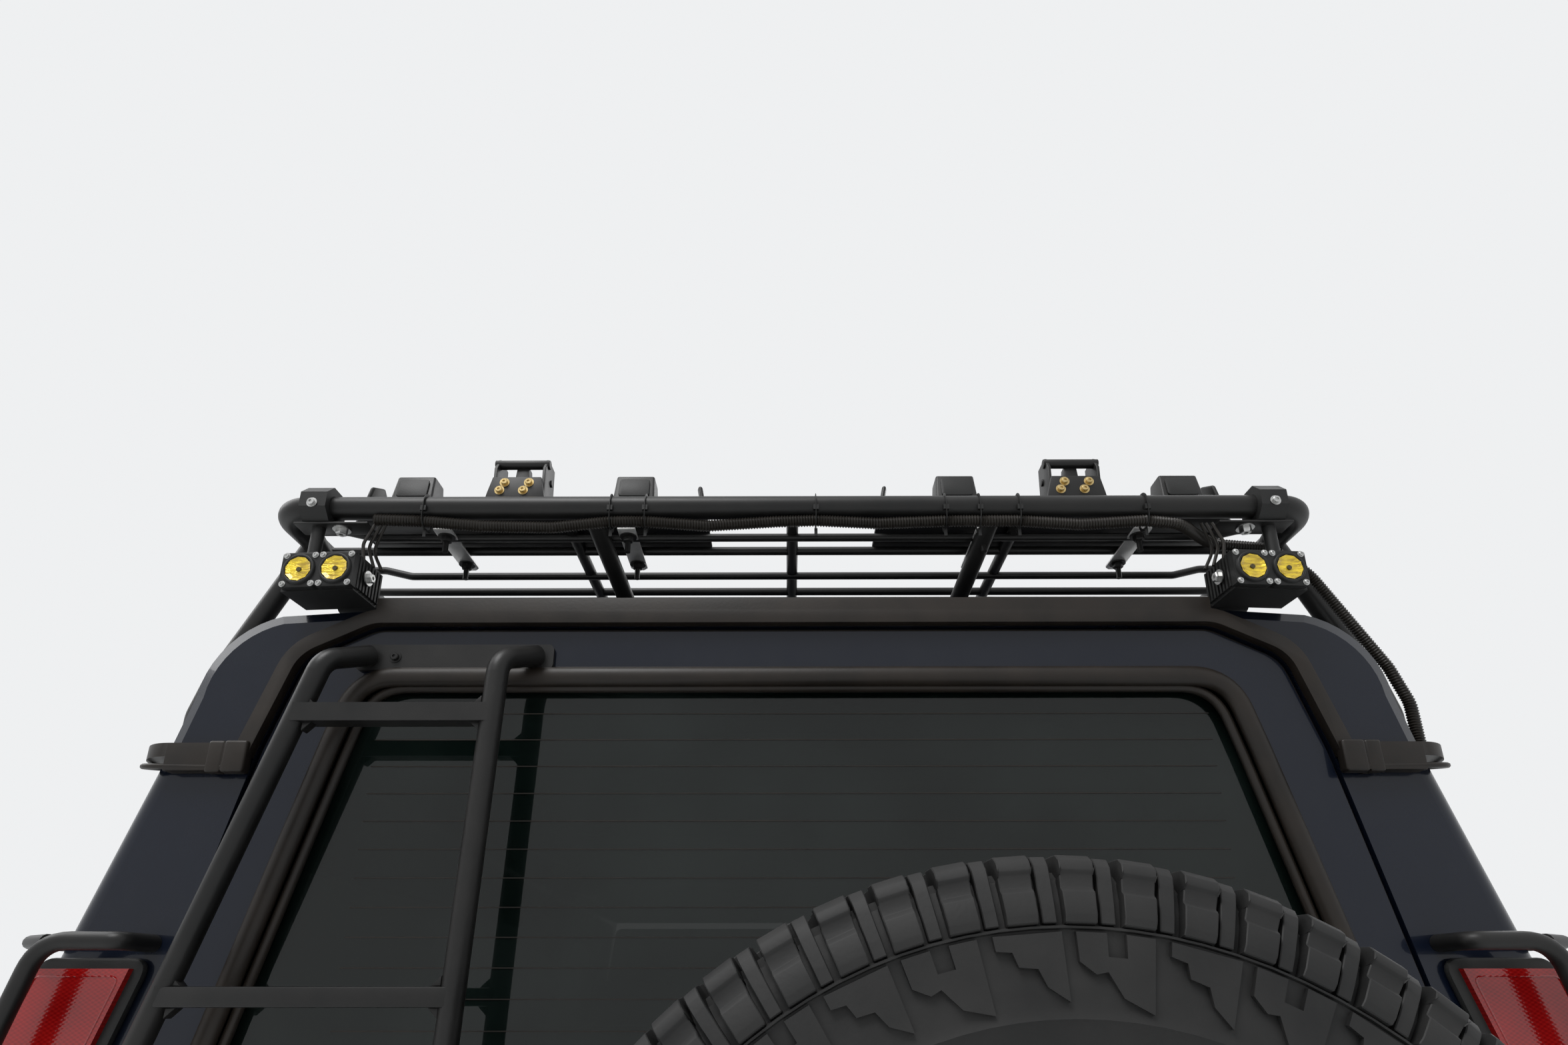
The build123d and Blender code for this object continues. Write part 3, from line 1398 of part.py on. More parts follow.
# Roof rack: perimeter tube with its rear struts, a floor of slats, and legs on the drip rails
rack_mid_y = (rack_front_y + rack_rear_y) / 2
corner_r = 40
leg_r = 14
leg_out = 8
leg_places = [rack_front_y + 150 + (rack_rear_y - rack_front_y - 250) * i / 3 for i in range(4)]
lower_y = rack_rear_y - 150
lower_z = roof_high_z + 36
with BuildPart() as roof_rack:
    for end_y in (rack_front_y, rack_rear_y):
        with BuildLine(mode=Mode.PRIVATE) as hoop:
            FilletPolyline(
                (rack_x, rack_mid_y, rack_z),
                (rack_x, end_y, rack_z),
                (-rack_x, end_y, rack_z),
                (-rack_x, rack_mid_y, rack_z),
                radius=corner_r,
            )
        with BuildSketch(Plane(origin=hoop.line @ 0, z_dir=hoop.line % 0)):
            Circle(rack_tube_r)
        sweep(path=hoop.line)
    with BuildSketch(flank(-rack_x + 20)):
        with Locations((lower_y, lower_z)):
            Circle(leg_r - 2)
    extrude(amount=2 * rack_x - 40)
    for hand in (-1, 1):
        for top, low in (((265, rack_rear_y), (236, lower_y)), ((rack_x - 10, rack_rear_y - 70), (rack_x - 36, lower_y))):
            start = Vector(hand * top[0], top[1], rack_z)
            run = Vector(hand * low[0], low[1], lower_z) - start
            with BuildSketch(Plane(origin=start, z_dir=run)):
                Circle(12)
            extrude(amount=run.length)
keep(roof_rack, "roof_rack")

slat_z = rack_z - 4
floor_x = rack_x - rack_tube_r - seat_gap
slat_count = int((rack_rear_y - rack_front_y - 150) / slat_pitch) + 1
with BuildPart() as rack_floor:
    with BuildSketch(flank(-floor_x)):
        for i in range(slat_count):
            with Locations((rack_rear_y - 108 - slat_pitch * i, slat_z)):
                Circle(slat_r)
    extrude(amount=2 * floor_x)
    with BuildSketch(station(rack_rear_y - rack_tube_r - seat_gap)):
        with GridLocations(300, 0, 3, 1):
            with Locations((0, slat_z)):
                Circle(slat_r + 2)
    extrude(amount=rack_rear_y - rack_front_y - 2 * rack_tube_r - 2 * seat_gap)
keep(rack_floor, "rack_floor")

# Each leg starts under the perimeter tube and stands on the drip rail
leg_foot_x = drip_x + drip_w / 2
with BuildPart() as rack_legs:
    for y in leg_places:
        for hand in (-1, 1):
            with BuildLine(mode=Mode.PRIVATE) as leg_line:
                FilletPolyline(
                    (hand * (rack_x + leg_out), y, rack_z - 4),
                    (hand * (gutter_x - 2), y, 1905),
                    (hand * leg_foot_x, y, 1852),
                    (hand * leg_foot_x, y, gutter_z + 5 + seat_gap),
                    radius=40,
                )
            with BuildSketch(Plane(origin=leg_line.line @ 0, z_dir=leg_line.line % 0)):
                Circle(leg_r)
            sweep(path=leg_line.line)
    with BuildSketch(station(rack_rear_y)):
        for hand in (-1, 1):
            with Locations((hand * rack_x, rack_z)):
                Circle(rack_tube_r + seat_gap)
    extrude(amount=rack_rear_y - rack_front_y, mode=Mode.SUBTRACT)
keep(rack_legs, "rack_legs")

# Twin lamp pods on eight-sided clamps at both ends of the rack's rear bar
pod_w = 46
pod_h = 50
pod_depth = 54
pod_x = 592
clamp_x = 614
clamp_w = 34
clamp_r = 27
pod_turn = 4
pod_top_z = rack_z - 75
with BuildPart() as rack_lamps:
    for hand in (-1, 1):
        with BuildSketch(flank(hand * clamp_x - clamp_w / 2)):
            with Locations((rack_rear_y, rack_z)):
                RegularPolygon(clamp_r, 8, rotation=22.5)
                Circle(rack_tube_r + seat_gap, mode=Mode.SUBTRACT)
        extrude(amount=clamp_w)
        with BuildSketch(level(rack_z - clamp_r + 4)):
            with Locations((hand * clamp_x, rack_rear_y)):
                Circle(8)
        extrude(amount=pod_top_z - rack_z + clamp_r - 6)
        with BuildSketch(level(pod_top_z)):
            with Locations(Location((hand * pod_x, rack_rear_y + 14 - pod_depth / 2, 0), (0, 0, -hand * pod_turn))):
                Rectangle(2 * pod_w + 2, pod_depth)
        extrude(amount=-pod_h)
        with BuildSketch(level(pod_top_z - 3)):
            with Locations(Location((hand * pod_x, rack_rear_y + 18, 0), (0, 0, -hand * pod_turn))):
                Rectangle(2 * pod_w + 2, 12)
        extrude(amount=-pod_h + 6)
keep(rack_lamps, "rack_lamps")

# Case mounts at the back of the rack: two long plates with corner brackets and a latch each
plate_t = 4
plate_w = 90
plate_y = rack_rear_y - 78
plate_z = slat_z + slat_r + 2 + seat_gap
bracket_w = 56
bracket_top_z = rack_z + 78
latch_w = 100
# Each plate: its left end, right end and the x of its latch
case_plates = [(596, 112, 372), (-112, -596, -382)]
with BuildPart() as case_mounts:
    for left, right, latch_x in case_plates:
        with BuildSketch(level(plate_z)):
            with Locations(((left + right) / 2, plate_y)):
                RectangleRounded(left - right, plate_w, 12)
                with GridLocations(190, 0, 2, 1):
                    SlotOverall(120, 26, mode=Mode.SUBTRACT)
        extrude(amount=plate_t)
        # Brackets that lean over the case's rear edge
        for x in (left - 76, right + 106):
            with BuildSketch(flank(x - bracket_w / 2)):
                with BuildLine():
                    Polyline(
                        (plate_y + plate_w / 2, plate_z),
                        (plate_y + plate_w / 2 + 4, plate_z + 30),
                        (plate_y + plate_w / 2 - 12, bracket_top_z),
                        (plate_y + plate_w / 2 - 18, bracket_top_z),
                        (plate_y + plate_w / 2 - 6, plate_z + 30),
                        (plate_y + plate_w / 2 - 10, plate_z),
                        close=True,
                    )
                make_face()
            extrude(amount=bracket_w)
        # Brackets at the plate's ends
        for x, way in ((left, -1), (right, 1)):
            with BuildSketch(station(plate_y + 28)):
                with BuildLine():
                    Polyline(
                        (x, plate_z),
                        (x, plate_z + 26),
                        (x + way * 14, bracket_top_z - 16),
                        (x + way * 20, bracket_top_z - 16),
                        (x + way * 8, plate_z + 26),
                        (x + way * 8, plate_z),
                        close=True,
                    )
                make_face()
            extrude(amount=bracket_w)
        # Latch: a plate with two ears and the pin between them
        with BuildSketch(station(plate_y + plate_w / 2)):
            with BuildLine():
                Polyline(
                    (latch_x - latch_w / 2, plate_z),
                    (latch_x - latch_w / 2 + 10, plate_z + 56),
                    (latch_x + latch_w / 2 - 10, plate_z + 56),
                    (latch_x + latch_w / 2, plate_z),
                    close=True,
                )
            make_face()
        extrude(amount=8)
        for over in (-1, 1):
            with BuildSketch(flank(latch_x + over * 32 - 4)):
                with Locations((plate_y + plate_w / 2 - 4, plate_z + 40)):
                    Rectangle(34, 62, align=(Align.MAX, Align.MIN))
            extrude(amount=8)
        with BuildSketch(flank(latch_x - 32)):
            with Locations((plate_y + plate_w / 2 - 20, plate_z + 78)):
                Circle(7)
        extrude(amount=64)
keep(case_mounts, "case_mounts")

# Corrugated loom under the rear bar and down the right leg
loom_r = 8
loom_y = rack_rear_y + 6
with BuildPart() as lamp_loom:
    with BuildLine() as loom_line:
        FilletPolyline(
            (540, loom_y, rack_z - 27),
            (300, loom_y, rack_z - 27),
            (0, loom_y, rack_z - 25),
            (-300, loom_y, rack_z - 27),
            (-500, loom_y - 4, rack_z - 28),
            (-560, rack_rear_y - 44, rack_z - 30),
            (-640, rack_rear_y - 46, rack_z - 36),
            (-694, rack_rear_y - 58, rack_z - 70),
            (-772, rack_rear_y - 62, 1905),
            (-leg_foot_x, rack_rear_y - 62, 1856),
            (-leg_foot_x, rack_rear_y - 62, gutter_z + 5 + seat_gap),
            radius=26,
        )
    with BuildSketch(Plane(origin=loom_line.line @ 0, z_dir=loom_line.line % 0)):
        Circle(loom_r)
    sweep()
keep(lamp_loom, "lamp_loom")
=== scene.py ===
# %% [markdown]
# # A lifted off-road estate car, dressed in Blender
# The CAD model gives every load-bearing shape: body, doors, wheels, rack and ladder. This
# notebook loads it as a fixed frame and adds what only a renderer needs: finishes, tread, seals,
# lamps, fastenings and padding. The car could be modelled afresh in Blender, but then the two
# models would drift apart. So nearly every new piece takes its place from a CAD node's box.

import json
import math

import bmesh
import bpy
from mathutils import Matrix, Vector


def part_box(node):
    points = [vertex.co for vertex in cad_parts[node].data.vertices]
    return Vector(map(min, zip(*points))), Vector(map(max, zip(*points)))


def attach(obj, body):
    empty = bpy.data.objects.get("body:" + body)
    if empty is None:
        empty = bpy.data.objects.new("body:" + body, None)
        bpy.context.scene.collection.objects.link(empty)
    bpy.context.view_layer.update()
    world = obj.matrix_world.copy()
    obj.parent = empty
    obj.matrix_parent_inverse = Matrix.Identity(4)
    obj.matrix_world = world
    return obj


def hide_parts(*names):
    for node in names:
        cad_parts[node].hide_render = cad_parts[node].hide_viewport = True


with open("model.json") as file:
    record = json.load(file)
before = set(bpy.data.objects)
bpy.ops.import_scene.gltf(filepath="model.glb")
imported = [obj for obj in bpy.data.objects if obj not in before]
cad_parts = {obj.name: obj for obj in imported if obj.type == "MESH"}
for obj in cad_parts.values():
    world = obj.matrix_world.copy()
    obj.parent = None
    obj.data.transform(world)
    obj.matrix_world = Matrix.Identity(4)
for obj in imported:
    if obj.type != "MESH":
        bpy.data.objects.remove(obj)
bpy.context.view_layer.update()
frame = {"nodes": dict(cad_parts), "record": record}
nodes = frame["nodes"]

# %% [markdown]
# Most new pieces sit on the body's flat rear face or on the rack's rear bar. Their places could
# be typed in as numbers, but a number goes stale when the CAD changes, so they are read from the
# boxes of the CAD nodes. A piece that stands on both sides is made in a loop over the two hands:
# 1 is the car's left.

# %% Places read from the CAD
MM = 0.001
tail_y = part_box("body_side_left")[1][1]
rack_bar = 15 * MM
HANDS = ((1, "left"), (-1, "right"))
ACROSS, REARWARD, UPWARD = Vector((1, 0, 0)), Vector((0, 1, 0)), Vector((0, 0, 1))
rack_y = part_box("roof_rack")[1][1] - rack_bar
rack_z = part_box("roof_rack")[1][2] - rack_bar


def middle(node):
    """Centre of a node's box."""
    low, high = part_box(node)
    return (Vector(low) + Vector(high)) / 2


print("tail face", round(tail_y, 4), "rack bar", round(rack_y, 4), round(rack_z, 4))

# %% [markdown]
# A real surface varies: dust gathers, paint ripples, rubber fades. In Blender such a change is a
# sum of noises and coordinates in a node tree. The nodes could be added and linked one by one,
# but the sum would be lost among them. So one small class wraps a socket, and `1 - dust * 0.5`
# adds its Math nodes by itself. Every other node comes from one function, which takes the node's
# type, its settings and the values or links of its sockets.


# %% Socket arithmetic
def feed(tree, socket, value):
    """Links a socket or a field to an input, or sets a plain value on it."""
    if isinstance(value, Field):
        value = value.socket
    if isinstance(value, bpy.types.NodeSocket):
        tree.links.new(value, socket)
    else:
        socket.default_value = value


def add_node(tree, kind, settings=None, values=None):
    """A node with its settings, which are set first, and its sockets' values or links."""
    made = tree.nodes.new(kind)
    for key, value in (settings or {}).items():
        setattr(made, key, value)
    for key, value in (values or {}).items():
        feed(tree, made.inputs[key], value)
    return made


class Field:
    """A shader value that varies over a surface; it wraps one socket of a tree."""

    def __init__(self, tree, socket):
        self.tree, self.socket = tree, socket

    def math(self, operation, *values):
        """One Math node on these values, as a new field."""
        made = add_node(self.tree, "ShaderNodeMath", {"operation": operation}, dict(enumerate(values)))
        return Field(self.tree, made.outputs[0])

    def __add__(self, other):
        return self.math("ADD", self, other)

    def __radd__(self, other):
        return self.math("ADD", other, self)

    def __sub__(self, other):
        return self.math("SUBTRACT", self, other)

    def __rsub__(self, other):
        return self.math("SUBTRACT", other, self)

    def __mul__(self, other):
        return self.math("MULTIPLY", self, other)

    def __rmul__(self, other):
        return self.math("MULTIPLY", other, self)

    def __pow__(self, other):
        return self.math("POWER", self, other)

    def sine(self):
        return self.math("SINE", self)

    def root(self):
        return self.math("SQRT", self)

    def larger(self, other):
        return self.math("MAXIMUM", self, other)

    def spread(self, low, high):
        """0 below low, 1 above high and a ramp between."""
        made = add_node(self.tree, "ShaderNodeMapRange", {"clamp": True}, {0: self, 1: low, 2: high})
        return Field(self.tree, made.outputs[0])


# %% [markdown]
# A second class holds a material while it is being built. Noises could drive every socket of the
# shader, but colour, roughness, alpha and relief are the ones that show. So constants sit on the
# Principled shader's own sockets. Patterns read the piece's Object coordinates, which are in
# metres, so that a grain has the same size on every piece.


# %% Materials
class Surface:
    """A material with one Principled shader; constants sit on its own sockets."""

    def __init__(self, name, color, **constants):
        self.material = bpy.data.materials.new(name)
        self.material.use_nodes = True
        self.tree = self.material.node_tree
        self.shader = self.tree.nodes["Principled BSDF"]
        self.shader.inputs["Base Color"].default_value = (*color, 1)
        for key, value in constants.items():
            self.shader.inputs[key.replace("_", " ").title().replace("Ior", "IOR")].default_value = value
        self.place = self.node("ShaderNodeTexCoord").outputs["Object"]

    def node(self, kind, settings=None, values=None):
        """A node in this material's tree."""
        return add_node(self.tree, kind, settings, values)

    def noise(self, scale, detail, stretch=(1, 1, 1)):
        """Cloudy values on the piece's own coordinates."""
        place = self.node("ShaderNodeMapping", None, {"Vector": self.place, "Scale": stretch}).outputs[0]
        made = self.node("ShaderNodeTexNoise", None, {"Vector": place, "Scale": scale, "Detail": detail})
        return Field(self.tree, made.outputs["Fac"])

    def along(self, axis):
        """The object coordinate along X, Y or Z, in metres."""
        made = self.node("ShaderNodeSeparateXYZ", None, {0: self.place})
        return Field(self.tree, made.outputs[axis])

    def color(self, mask, low, high):
        """Base Color mixed by a mask."""
        made = self.node(
            "ShaderNodeMix", {"data_type": "RGBA"}, {"Factor": mask, 6: (*low, 1), 7: (*high, 1)}
        )
        feed(self.tree, self.shader.inputs["Base Color"], made.outputs[2])
        return self

    def vary(self, name, value):
        """Feeds one of the shader's inputs with a field."""
        feed(self.tree, self.shader.inputs[name], value)
        return self

    def bump(self, height, strength, distance):
        """Relief from a height field; distance is its depth in metres."""
        made = self.node(
            "ShaderNodeBump", None, {"Strength": strength, "Distance": distance, "Height": height}
        )
        feed(self.tree, self.shader.inputs["Normal"], made.outputs[0])
        return self


# %% [markdown]
# ## Finishes
# The body is a very dark navy clear coat. It could be mixed from a dull and a glossy shader, but
# the Principled shader's coat does what real lacquer does, a sharp layer over a duller one. The
# paint is nearly black in itself, so what is seen is the reflection of the sky, slightly broken
# by dust and by the soft ripple of real paint. The windows are tinted so darkly that true
# refraction would hardly show. They are a glossy, nearly opaque sheet with smears on it.

# %% Paint and glass
skin = Surface(
    "navy_clear_coat", (0.004, 0.007, 0.015), roughness=0.3, coat_weight=0.4, coat_roughness=0.03,
    specular_ior_level=0.15,
)
dust = (skin.noise(2.2, 5) * 0.7 + skin.noise(31, 3) * 0.3).spread(0.42, 0.78)
skin.color(dust * 0.3, (0.0035, 0.006, 0.014), (0.015, 0.017, 0.022))
skin.vary("Roughness", 0.24 + dust * 0.2).bump(skin.noise(26, 2), 0.03, 0.0004)

glass = Surface("tinted_glass", (0.004, 0.007, 0.006), roughness=0.02, ior=1.5, specular_ior_level=0.4)
smear = glass.noise(3.5, 4).spread(0.45, 0.8)
glass.vary("Roughness", 0.015 + smear * 0.05).vary("Alpha", 0.86 + smear * 0.05)
glass.color(smear, (0.003, 0.006, 0.005), (0.012, 0.018, 0.016))
print("paint and glass ready")

# %% [markdown]
# Most of what is bolted to this car is black, yet no two blacks are alike. Powder coat on tube is
# satin with a fine orange-peel grain and pale dust, moulded plastic has a coarser grain, and
# sun-bleached rubber turns brown where it weathers. One material could serve them all, but then
# tubes, plastic and rubber would merge. One recipe with five values keeps them related and still
# different.


# %% Dark finishes
def grained(name, color, worn, rough, grain, depth):
    """A dark finish with grain in its bump and weather in its colour."""
    made = Surface(name, color)
    weather = (made.noise(3.1, 5) * 0.6 + made.noise(24, 4) * 0.4).spread(0.38, 0.75)
    made.color(weather, color, worn)
    made.vary("Roughness", rough - 0.06 + weather * 0.14)
    made.bump(made.noise(grain, 2), 0.25, depth)
    return made


tube_coat = grained("powder_coat", (0.007, 0.007, 0.007), (0.018, 0.017, 0.016), 0.42, 900, 0.0004)
plastic = grained("moulded_plastic", (0.008, 0.008, 0.008), (0.020, 0.020, 0.019), 0.50, 600, 0.0005)
rubber = grained("weathered_rubber", (0.009, 0.007, 0.0055), (0.026, 0.019, 0.014), 0.46, 240, 0.0004)
tread_rubber = grained("tread_rubber", (0.010, 0.010, 0.010), (0.030, 0.029, 0.028), 0.62, 300, 0.0006)
underseal = grained("underseal", (0.010, 0.010, 0.011), (0.04, 0.036, 0.032), 0.66, 120, 0.0015)
casting = grained("painted_casting", (0.016, 0.016, 0.017), (0.050, 0.044, 0.038), 0.55, 160, 0.001)
cabin = grained("cabin_plastic", (0.030, 0.031, 0.033), (0.045, 0.045, 0.046), 0.6, 500, 0.0006)
loom_skin = grained("loom_plastic", (0.012, 0.010, 0.008), (0.028, 0.024, 0.020), 0.38, 300, 0.0003)
wheel_coat = grained("wheel_coat", (0.012, 0.012, 0.013), (0.032, 0.030, 0.028), 0.38, 300, 0.0004)
for dark in (tube_coat, plastic, rubber, tread_rubber, loom_skin):
    dark.shader.inputs["Specular IOR Level"].default_value = 0.3
print("dark finishes ready")

# %% [markdown]
# Bare metal shows on bolts, brass screws, the alloy straps and the exhaust. Scratches could be
# drawn as relief, but these pieces are small and seen from a distance. A little noise in colour
# and roughness is enough to stop a bolt looking like a mirror.


# %% Bare metals
def metal(name, color, rough, grain=220):
    """A bare metal whose colour and roughness wear unevenly."""
    made = Surface(name, color, metallic=1.0)
    wear = made.noise(grain, 3)
    made.color(wear.spread(0.3, 0.8), tuple(0.75 * c for c in color), color)
    return made.vary("Roughness", rough + wear * 0.2)


steel = metal("zinc_steel", (0.55, 0.55, 0.54), 0.22)
brass = metal("brass", (0.62, 0.47, 0.22), 0.22)
alloy = metal("bright_alloy", (0.86, 0.85, 0.83), 0.30, 60)
alloy.shader.inputs["Metallic"].default_value = 0.7
cast_alloy = metal("cast_alloy", (0.35, 0.35, 0.35), 0.45, 90)
pipe_steel = metal("aluminised_steel", (0.38, 0.36, 0.33), 0.38, 40)
print("bare metals ready")

# %% [markdown]
# The work lamps have a streaky yellow reflector. Its streaks are relief and painted reflection in
# its colour, and a weak emission paints a glow on it. The red lenses have a grid of fine prisms,
# and the headlamps have upright flutes. These could be cut as geometry, at a cost of thousands of
# faces. Sine waves on the piece's own coordinates give the same lines, as relief and as painted
# light and shade in the colour, and stay sharp from nearby.

# %% Lenses and mirrors
amber = Surface("yellow_reflector", (0.70, 0.50, 0.01), roughness=0.2, metallic=0.35, coat_weight=0.8)
# The streak mask paints reflections into the reflector's colour, and it also gives its relief.
streak_and_glint = amber.noise(60, 3, (1, 1, 5)).spread(0.35, 0.65)
amber.color(streak_and_glint, (0.34, 0.22, 0.004), (0.88, 0.64, 0.012)).bump(streak_and_glint, 0.6, 0.002)
amber.vary("Roughness", 0.14 + streak_and_glint * 0.1)
# A weak emission paints a glow on the reflector, which gives no light of its own.
amber.shader.inputs["Emission Strength"].default_value = 0.12
amber.shader.inputs["Emission Color"].default_value = (0.8, 0.55, 0.02, 1)
led = Surface("led_chip", (0.05, 0.035, 0.004), roughness=0.3)
led.vary("Roughness", 0.25 + led.noise(200, 2) * 0.1)

red = Surface("red_lens", (0.30, 0.006, 0.008), roughness=0.10, coat_weight=0.3)
# The prism grid paints light and shade into the lens's colour, and it also gives its relief.
prism_and_shading = (red.along("Z") * 1400).sine() * (red.along("X") * 900).sine()
depth = red.noise(9, 3).spread(0.35, 0.7)
red.color(prism_and_shading.spread(-0.8, 1.0) * 0.35 + depth * 0.4, (0.17, 0.002, 0.003), (0.50, 0.012, 0.010))
red.vary("Roughness", 0.05 + depth * 0.06).bump(prism_and_shading, 0.10, 0.0005)

clear = Surface("clear_lens", (0.55, 0.57, 0.58), roughness=0.05, coat_weight=1.0)
# The flutes paint light and shade into the clear lens's colour, and they also give its relief.
flutes_and_shading = (clear.along("X") * 700).sine()
clear.color(flutes_and_shading.spread(-1, 1), (0.30, 0.31, 0.32), (0.75, 0.77, 0.78)).bump(flutes_and_shading, 0.4, 0.001)

turn_lens = Surface("orange_lens", (0.75, 0.22, 0.01), roughness=0.1, coat_weight=1.0)
turn_lens.bump(turn_lens.noise(120, 1, (1, 1, 3)), 0.4, 0.001)
mirror_face = Surface("mirror_glass", (0.75, 0.77, 0.78), roughness=0.02, metallic=1.0)
mirror_face.vary("Roughness", 0.01 + mirror_face.noise(4, 3) * 0.03)
print(len(bpy.data.materials), "materials")

# %% [markdown]
# The seats are covered with a plain woven cloth. Its threads could be a picture, which would need
# a UV map on every cushion. Two crossed sine waves make them from the coordinates alone, and a
# larger noise fades the colour where people sit.

# %% Seat cloth
cloth = Surface("seat_cloth", (0.05, 0.052, 0.056), roughness=0.9)
cloth.shader.inputs["Sheen Weight"].default_value = 0.4
weft = (cloth.along("X") * 2600).sine()
warp = ((cloth.along("Z") + cloth.along("Y")) * 2600).sine()
fade = cloth.noise(5, 4).spread(0.35, 0.75)
cloth.color(fade, (0.040, 0.042, 0.046), (0.085, 0.086, 0.090))
cloth.bump(weft * warp, 0.35, 0.0006).vary("Roughness", 0.82 + fade * 0.1)
print("seat cloth ready")

# %% [markdown]
# Each CAD node keeps its mesh and gets the finish of its real part. That could be set node by
# node, but the record already names a slot for each, so one table from slots to finishes is
# enough and no node can be forgotten.

# %% Finishes on the CAD nodes
finish_of = {
    "paint": skin, "underbody": underseal, "tinted_glass": glass, "black_plastic": plastic,
    "clear_lens": clear, "black_steel": tube_coat, "chassis_black": underseal, "cast_axle": casting,
    "spring_steel": wheel_coat, "engine_metal": cast_alloy, "tank_plastic": plastic,
    "exhaust_steel": pipe_steel, "cabin_plastic": cabin, "seat_fabric": cloth, "red_lens": red,
    "gutter_rubber": rubber, "lamp_housing": plastic, "bracket_steel": tube_coat,
    "loom_plastic": loom_skin, "tyre": tread_rubber, "wheel_steel": wheel_coat,
}
slot_of = {part["node"]: part["material_slot"] for part in frame["record"]["subparts"]}
for name, thing in nodes.items():
    for spot in thing.material_slots:
        spot.material = finish_of[slot_of[name]].material
print(len(nodes), "CAD nodes finished")

# %% [markdown]
# ## Mesh helpers
# Most added pieces are one of four forms that a workshop knows too: a plate cut to an outline, a
# turned ring, a tube along a path, and a block. Curve objects could make the tubes, but they have
# to become meshes before they can be joined to anything, and a bmesh gives every corner at once.
# Outlines come first. Many are drawn once, on the left side or in the upright plane, and then
# mirrored or set in place, so that both sides stay alike.


# %% Outlines
def mirrored(half):
    """An outline drawn on the left, closed by its mirror image."""
    return half + [(-x, z) for x, z in half[::-1]]


def rectangle(half_width, half_height):
    """The corners of an upright rectangle round the origin, as (x, z)."""
    return [
        (-half_width, -half_height), (half_width, -half_height),
        (half_width, half_height), (-half_width, half_height),
    ]


def upright(outline, y, hand=1, centre=(0, 0)):
    """An (x, z) outline as points in the plane at y, mirrored where hand is -1."""
    return [(centre[0] + hand * x, y, centre[1] + z) for x, z in outline]


def rounded(points, radius, closed, steps):
    """A path with each corner turned on a smooth curve of about that radius."""
    straight, most_of_side = 0.02, 0.48
    points = [Vector(p) for p in points]
    count = len(points)
    result = []
    for i, corner in enumerate(points):
        if not closed and i in (0, count - 1):
            result.append(corner)
            continue
        before, after = points[i - 1], points[(i + 1) % count]
        back, ahead = (before - corner), (after - corner)
        turn = math.pi - back.angle(ahead)
        if turn < straight:
            result.append(corner)
            continue
        r = radius[i] if isinstance(radius, (list, tuple)) else radius
        cut = min(r * math.tan(turn / 2), most_of_side * back.length, most_of_side * ahead.length)
        start, end = corner + back.normalized() * cut, corner + ahead.normalized() * cut
        for step in range(steps + 1):
            t = step / steps
            result.append(start * (1 - t) ** 2 + corner * 2 * t * (1 - t) + end * t * t)
    return result


# %% [markdown]
# A real tube keeps its section through a bend. So the tube helper carries a ring of corners along
# the path and turns it with the path. A plate is an outline pushed along one direction, and a
# block is a plate with four corners. Each helper could make an object of its own, but adding to a
# bmesh lets several forms share one piece.


# %% Tubes, plates and blocks
def across_path(ahead, facing):
    """Two directions across a path: one to its side, and one up towards `facing`."""
    up = Vector(facing)
    up = (up - ahead * up.dot(ahead)).normalized()
    return ahead.cross(up), up


def tube(mesh, path, width, height=None, closed=False, sides=12, facing=(0, 1, 0), square=False):
    """A round, oval or square-edged tube along a path; width lies across `facing`."""
    height = height or width
    squareness = 0.35
    count = len(path)
    rings = []
    for i, point in enumerate(path):
        before = path[i - 1] if (i or closed) else point
        after = path[(i + 1) % count] if (closed or i < count - 1) else point
        side, up = across_path((after - before).normalized(), facing)
        ring = []
        for s in range(sides):
            angle = 2 * math.pi * (s + 0.5) / sides
            c, v = math.cos(angle), math.sin(angle)
            if square:
                c, v = (math.copysign(abs(q) ** squareness, q) for q in (c, v))
            ring.append(mesh.verts.new(point + side * (c * width / 2) + up * (v * height / 2)))
        rings.append(ring)
    for i in range(count if closed else count - 1):
        a, b = rings[i], rings[(i + 1) % count]
        for s in range(sides):
            mesh.faces.new((a[s], b[s], b[(s + 1) % sides], a[(s + 1) % sides]))
    if not closed:
        mesh.faces.new(rings[0][::-1])
        mesh.faces.new(rings[-1])


def walled(mesh, low, high):
    """Closes two rings of corners and joins them with a wall."""
    mesh.faces.new(low[::-1])
    mesh.faces.new(high)
    for i in range(len(low)):
        j = (i + 1) % len(low)
        mesh.faces.new((low[i], low[j], high[j], high[i]))


def plate(mesh, outline, out, depth):
    """A flat outline pushed along a direction."""
    shift = Vector(out) * depth
    low = [mesh.verts.new(Vector(p)) for p in outline]
    walled(mesh, low, [mesh.verts.new(Vector(p) + shift) for p in outline])


def block(mesh, low, high):
    """A block between two corners."""
    (x0, y0, z0), (x1, y1, z1) = low, high
    plate(mesh, [(x0, y0, z0), (x1, y0, z0), (x1, y1, z0), (x0, y1, z0)], UPWARD, z1 - z0)


def sided_block(mesh, hand, xs, ys, zs):
    """A block given on the left side, mirrored where hand is -1."""
    low, high = sorted(hand * x for x in xs)
    block(mesh, (low, ys[0], zs[0]), (high, ys[1], zs[1]))


# %% [markdown]
# Washers, caps, lamp bowls and the tyre's carcass are round about an axis. Blender's Screw
# modifier or Spin would turn them too, but either can leave a seam or an open pole. Here a
# profile of (distance along the axis, radius) is carried round the axis. Where the radius is
# nought, the ring closes to one point, so no pole is left open.


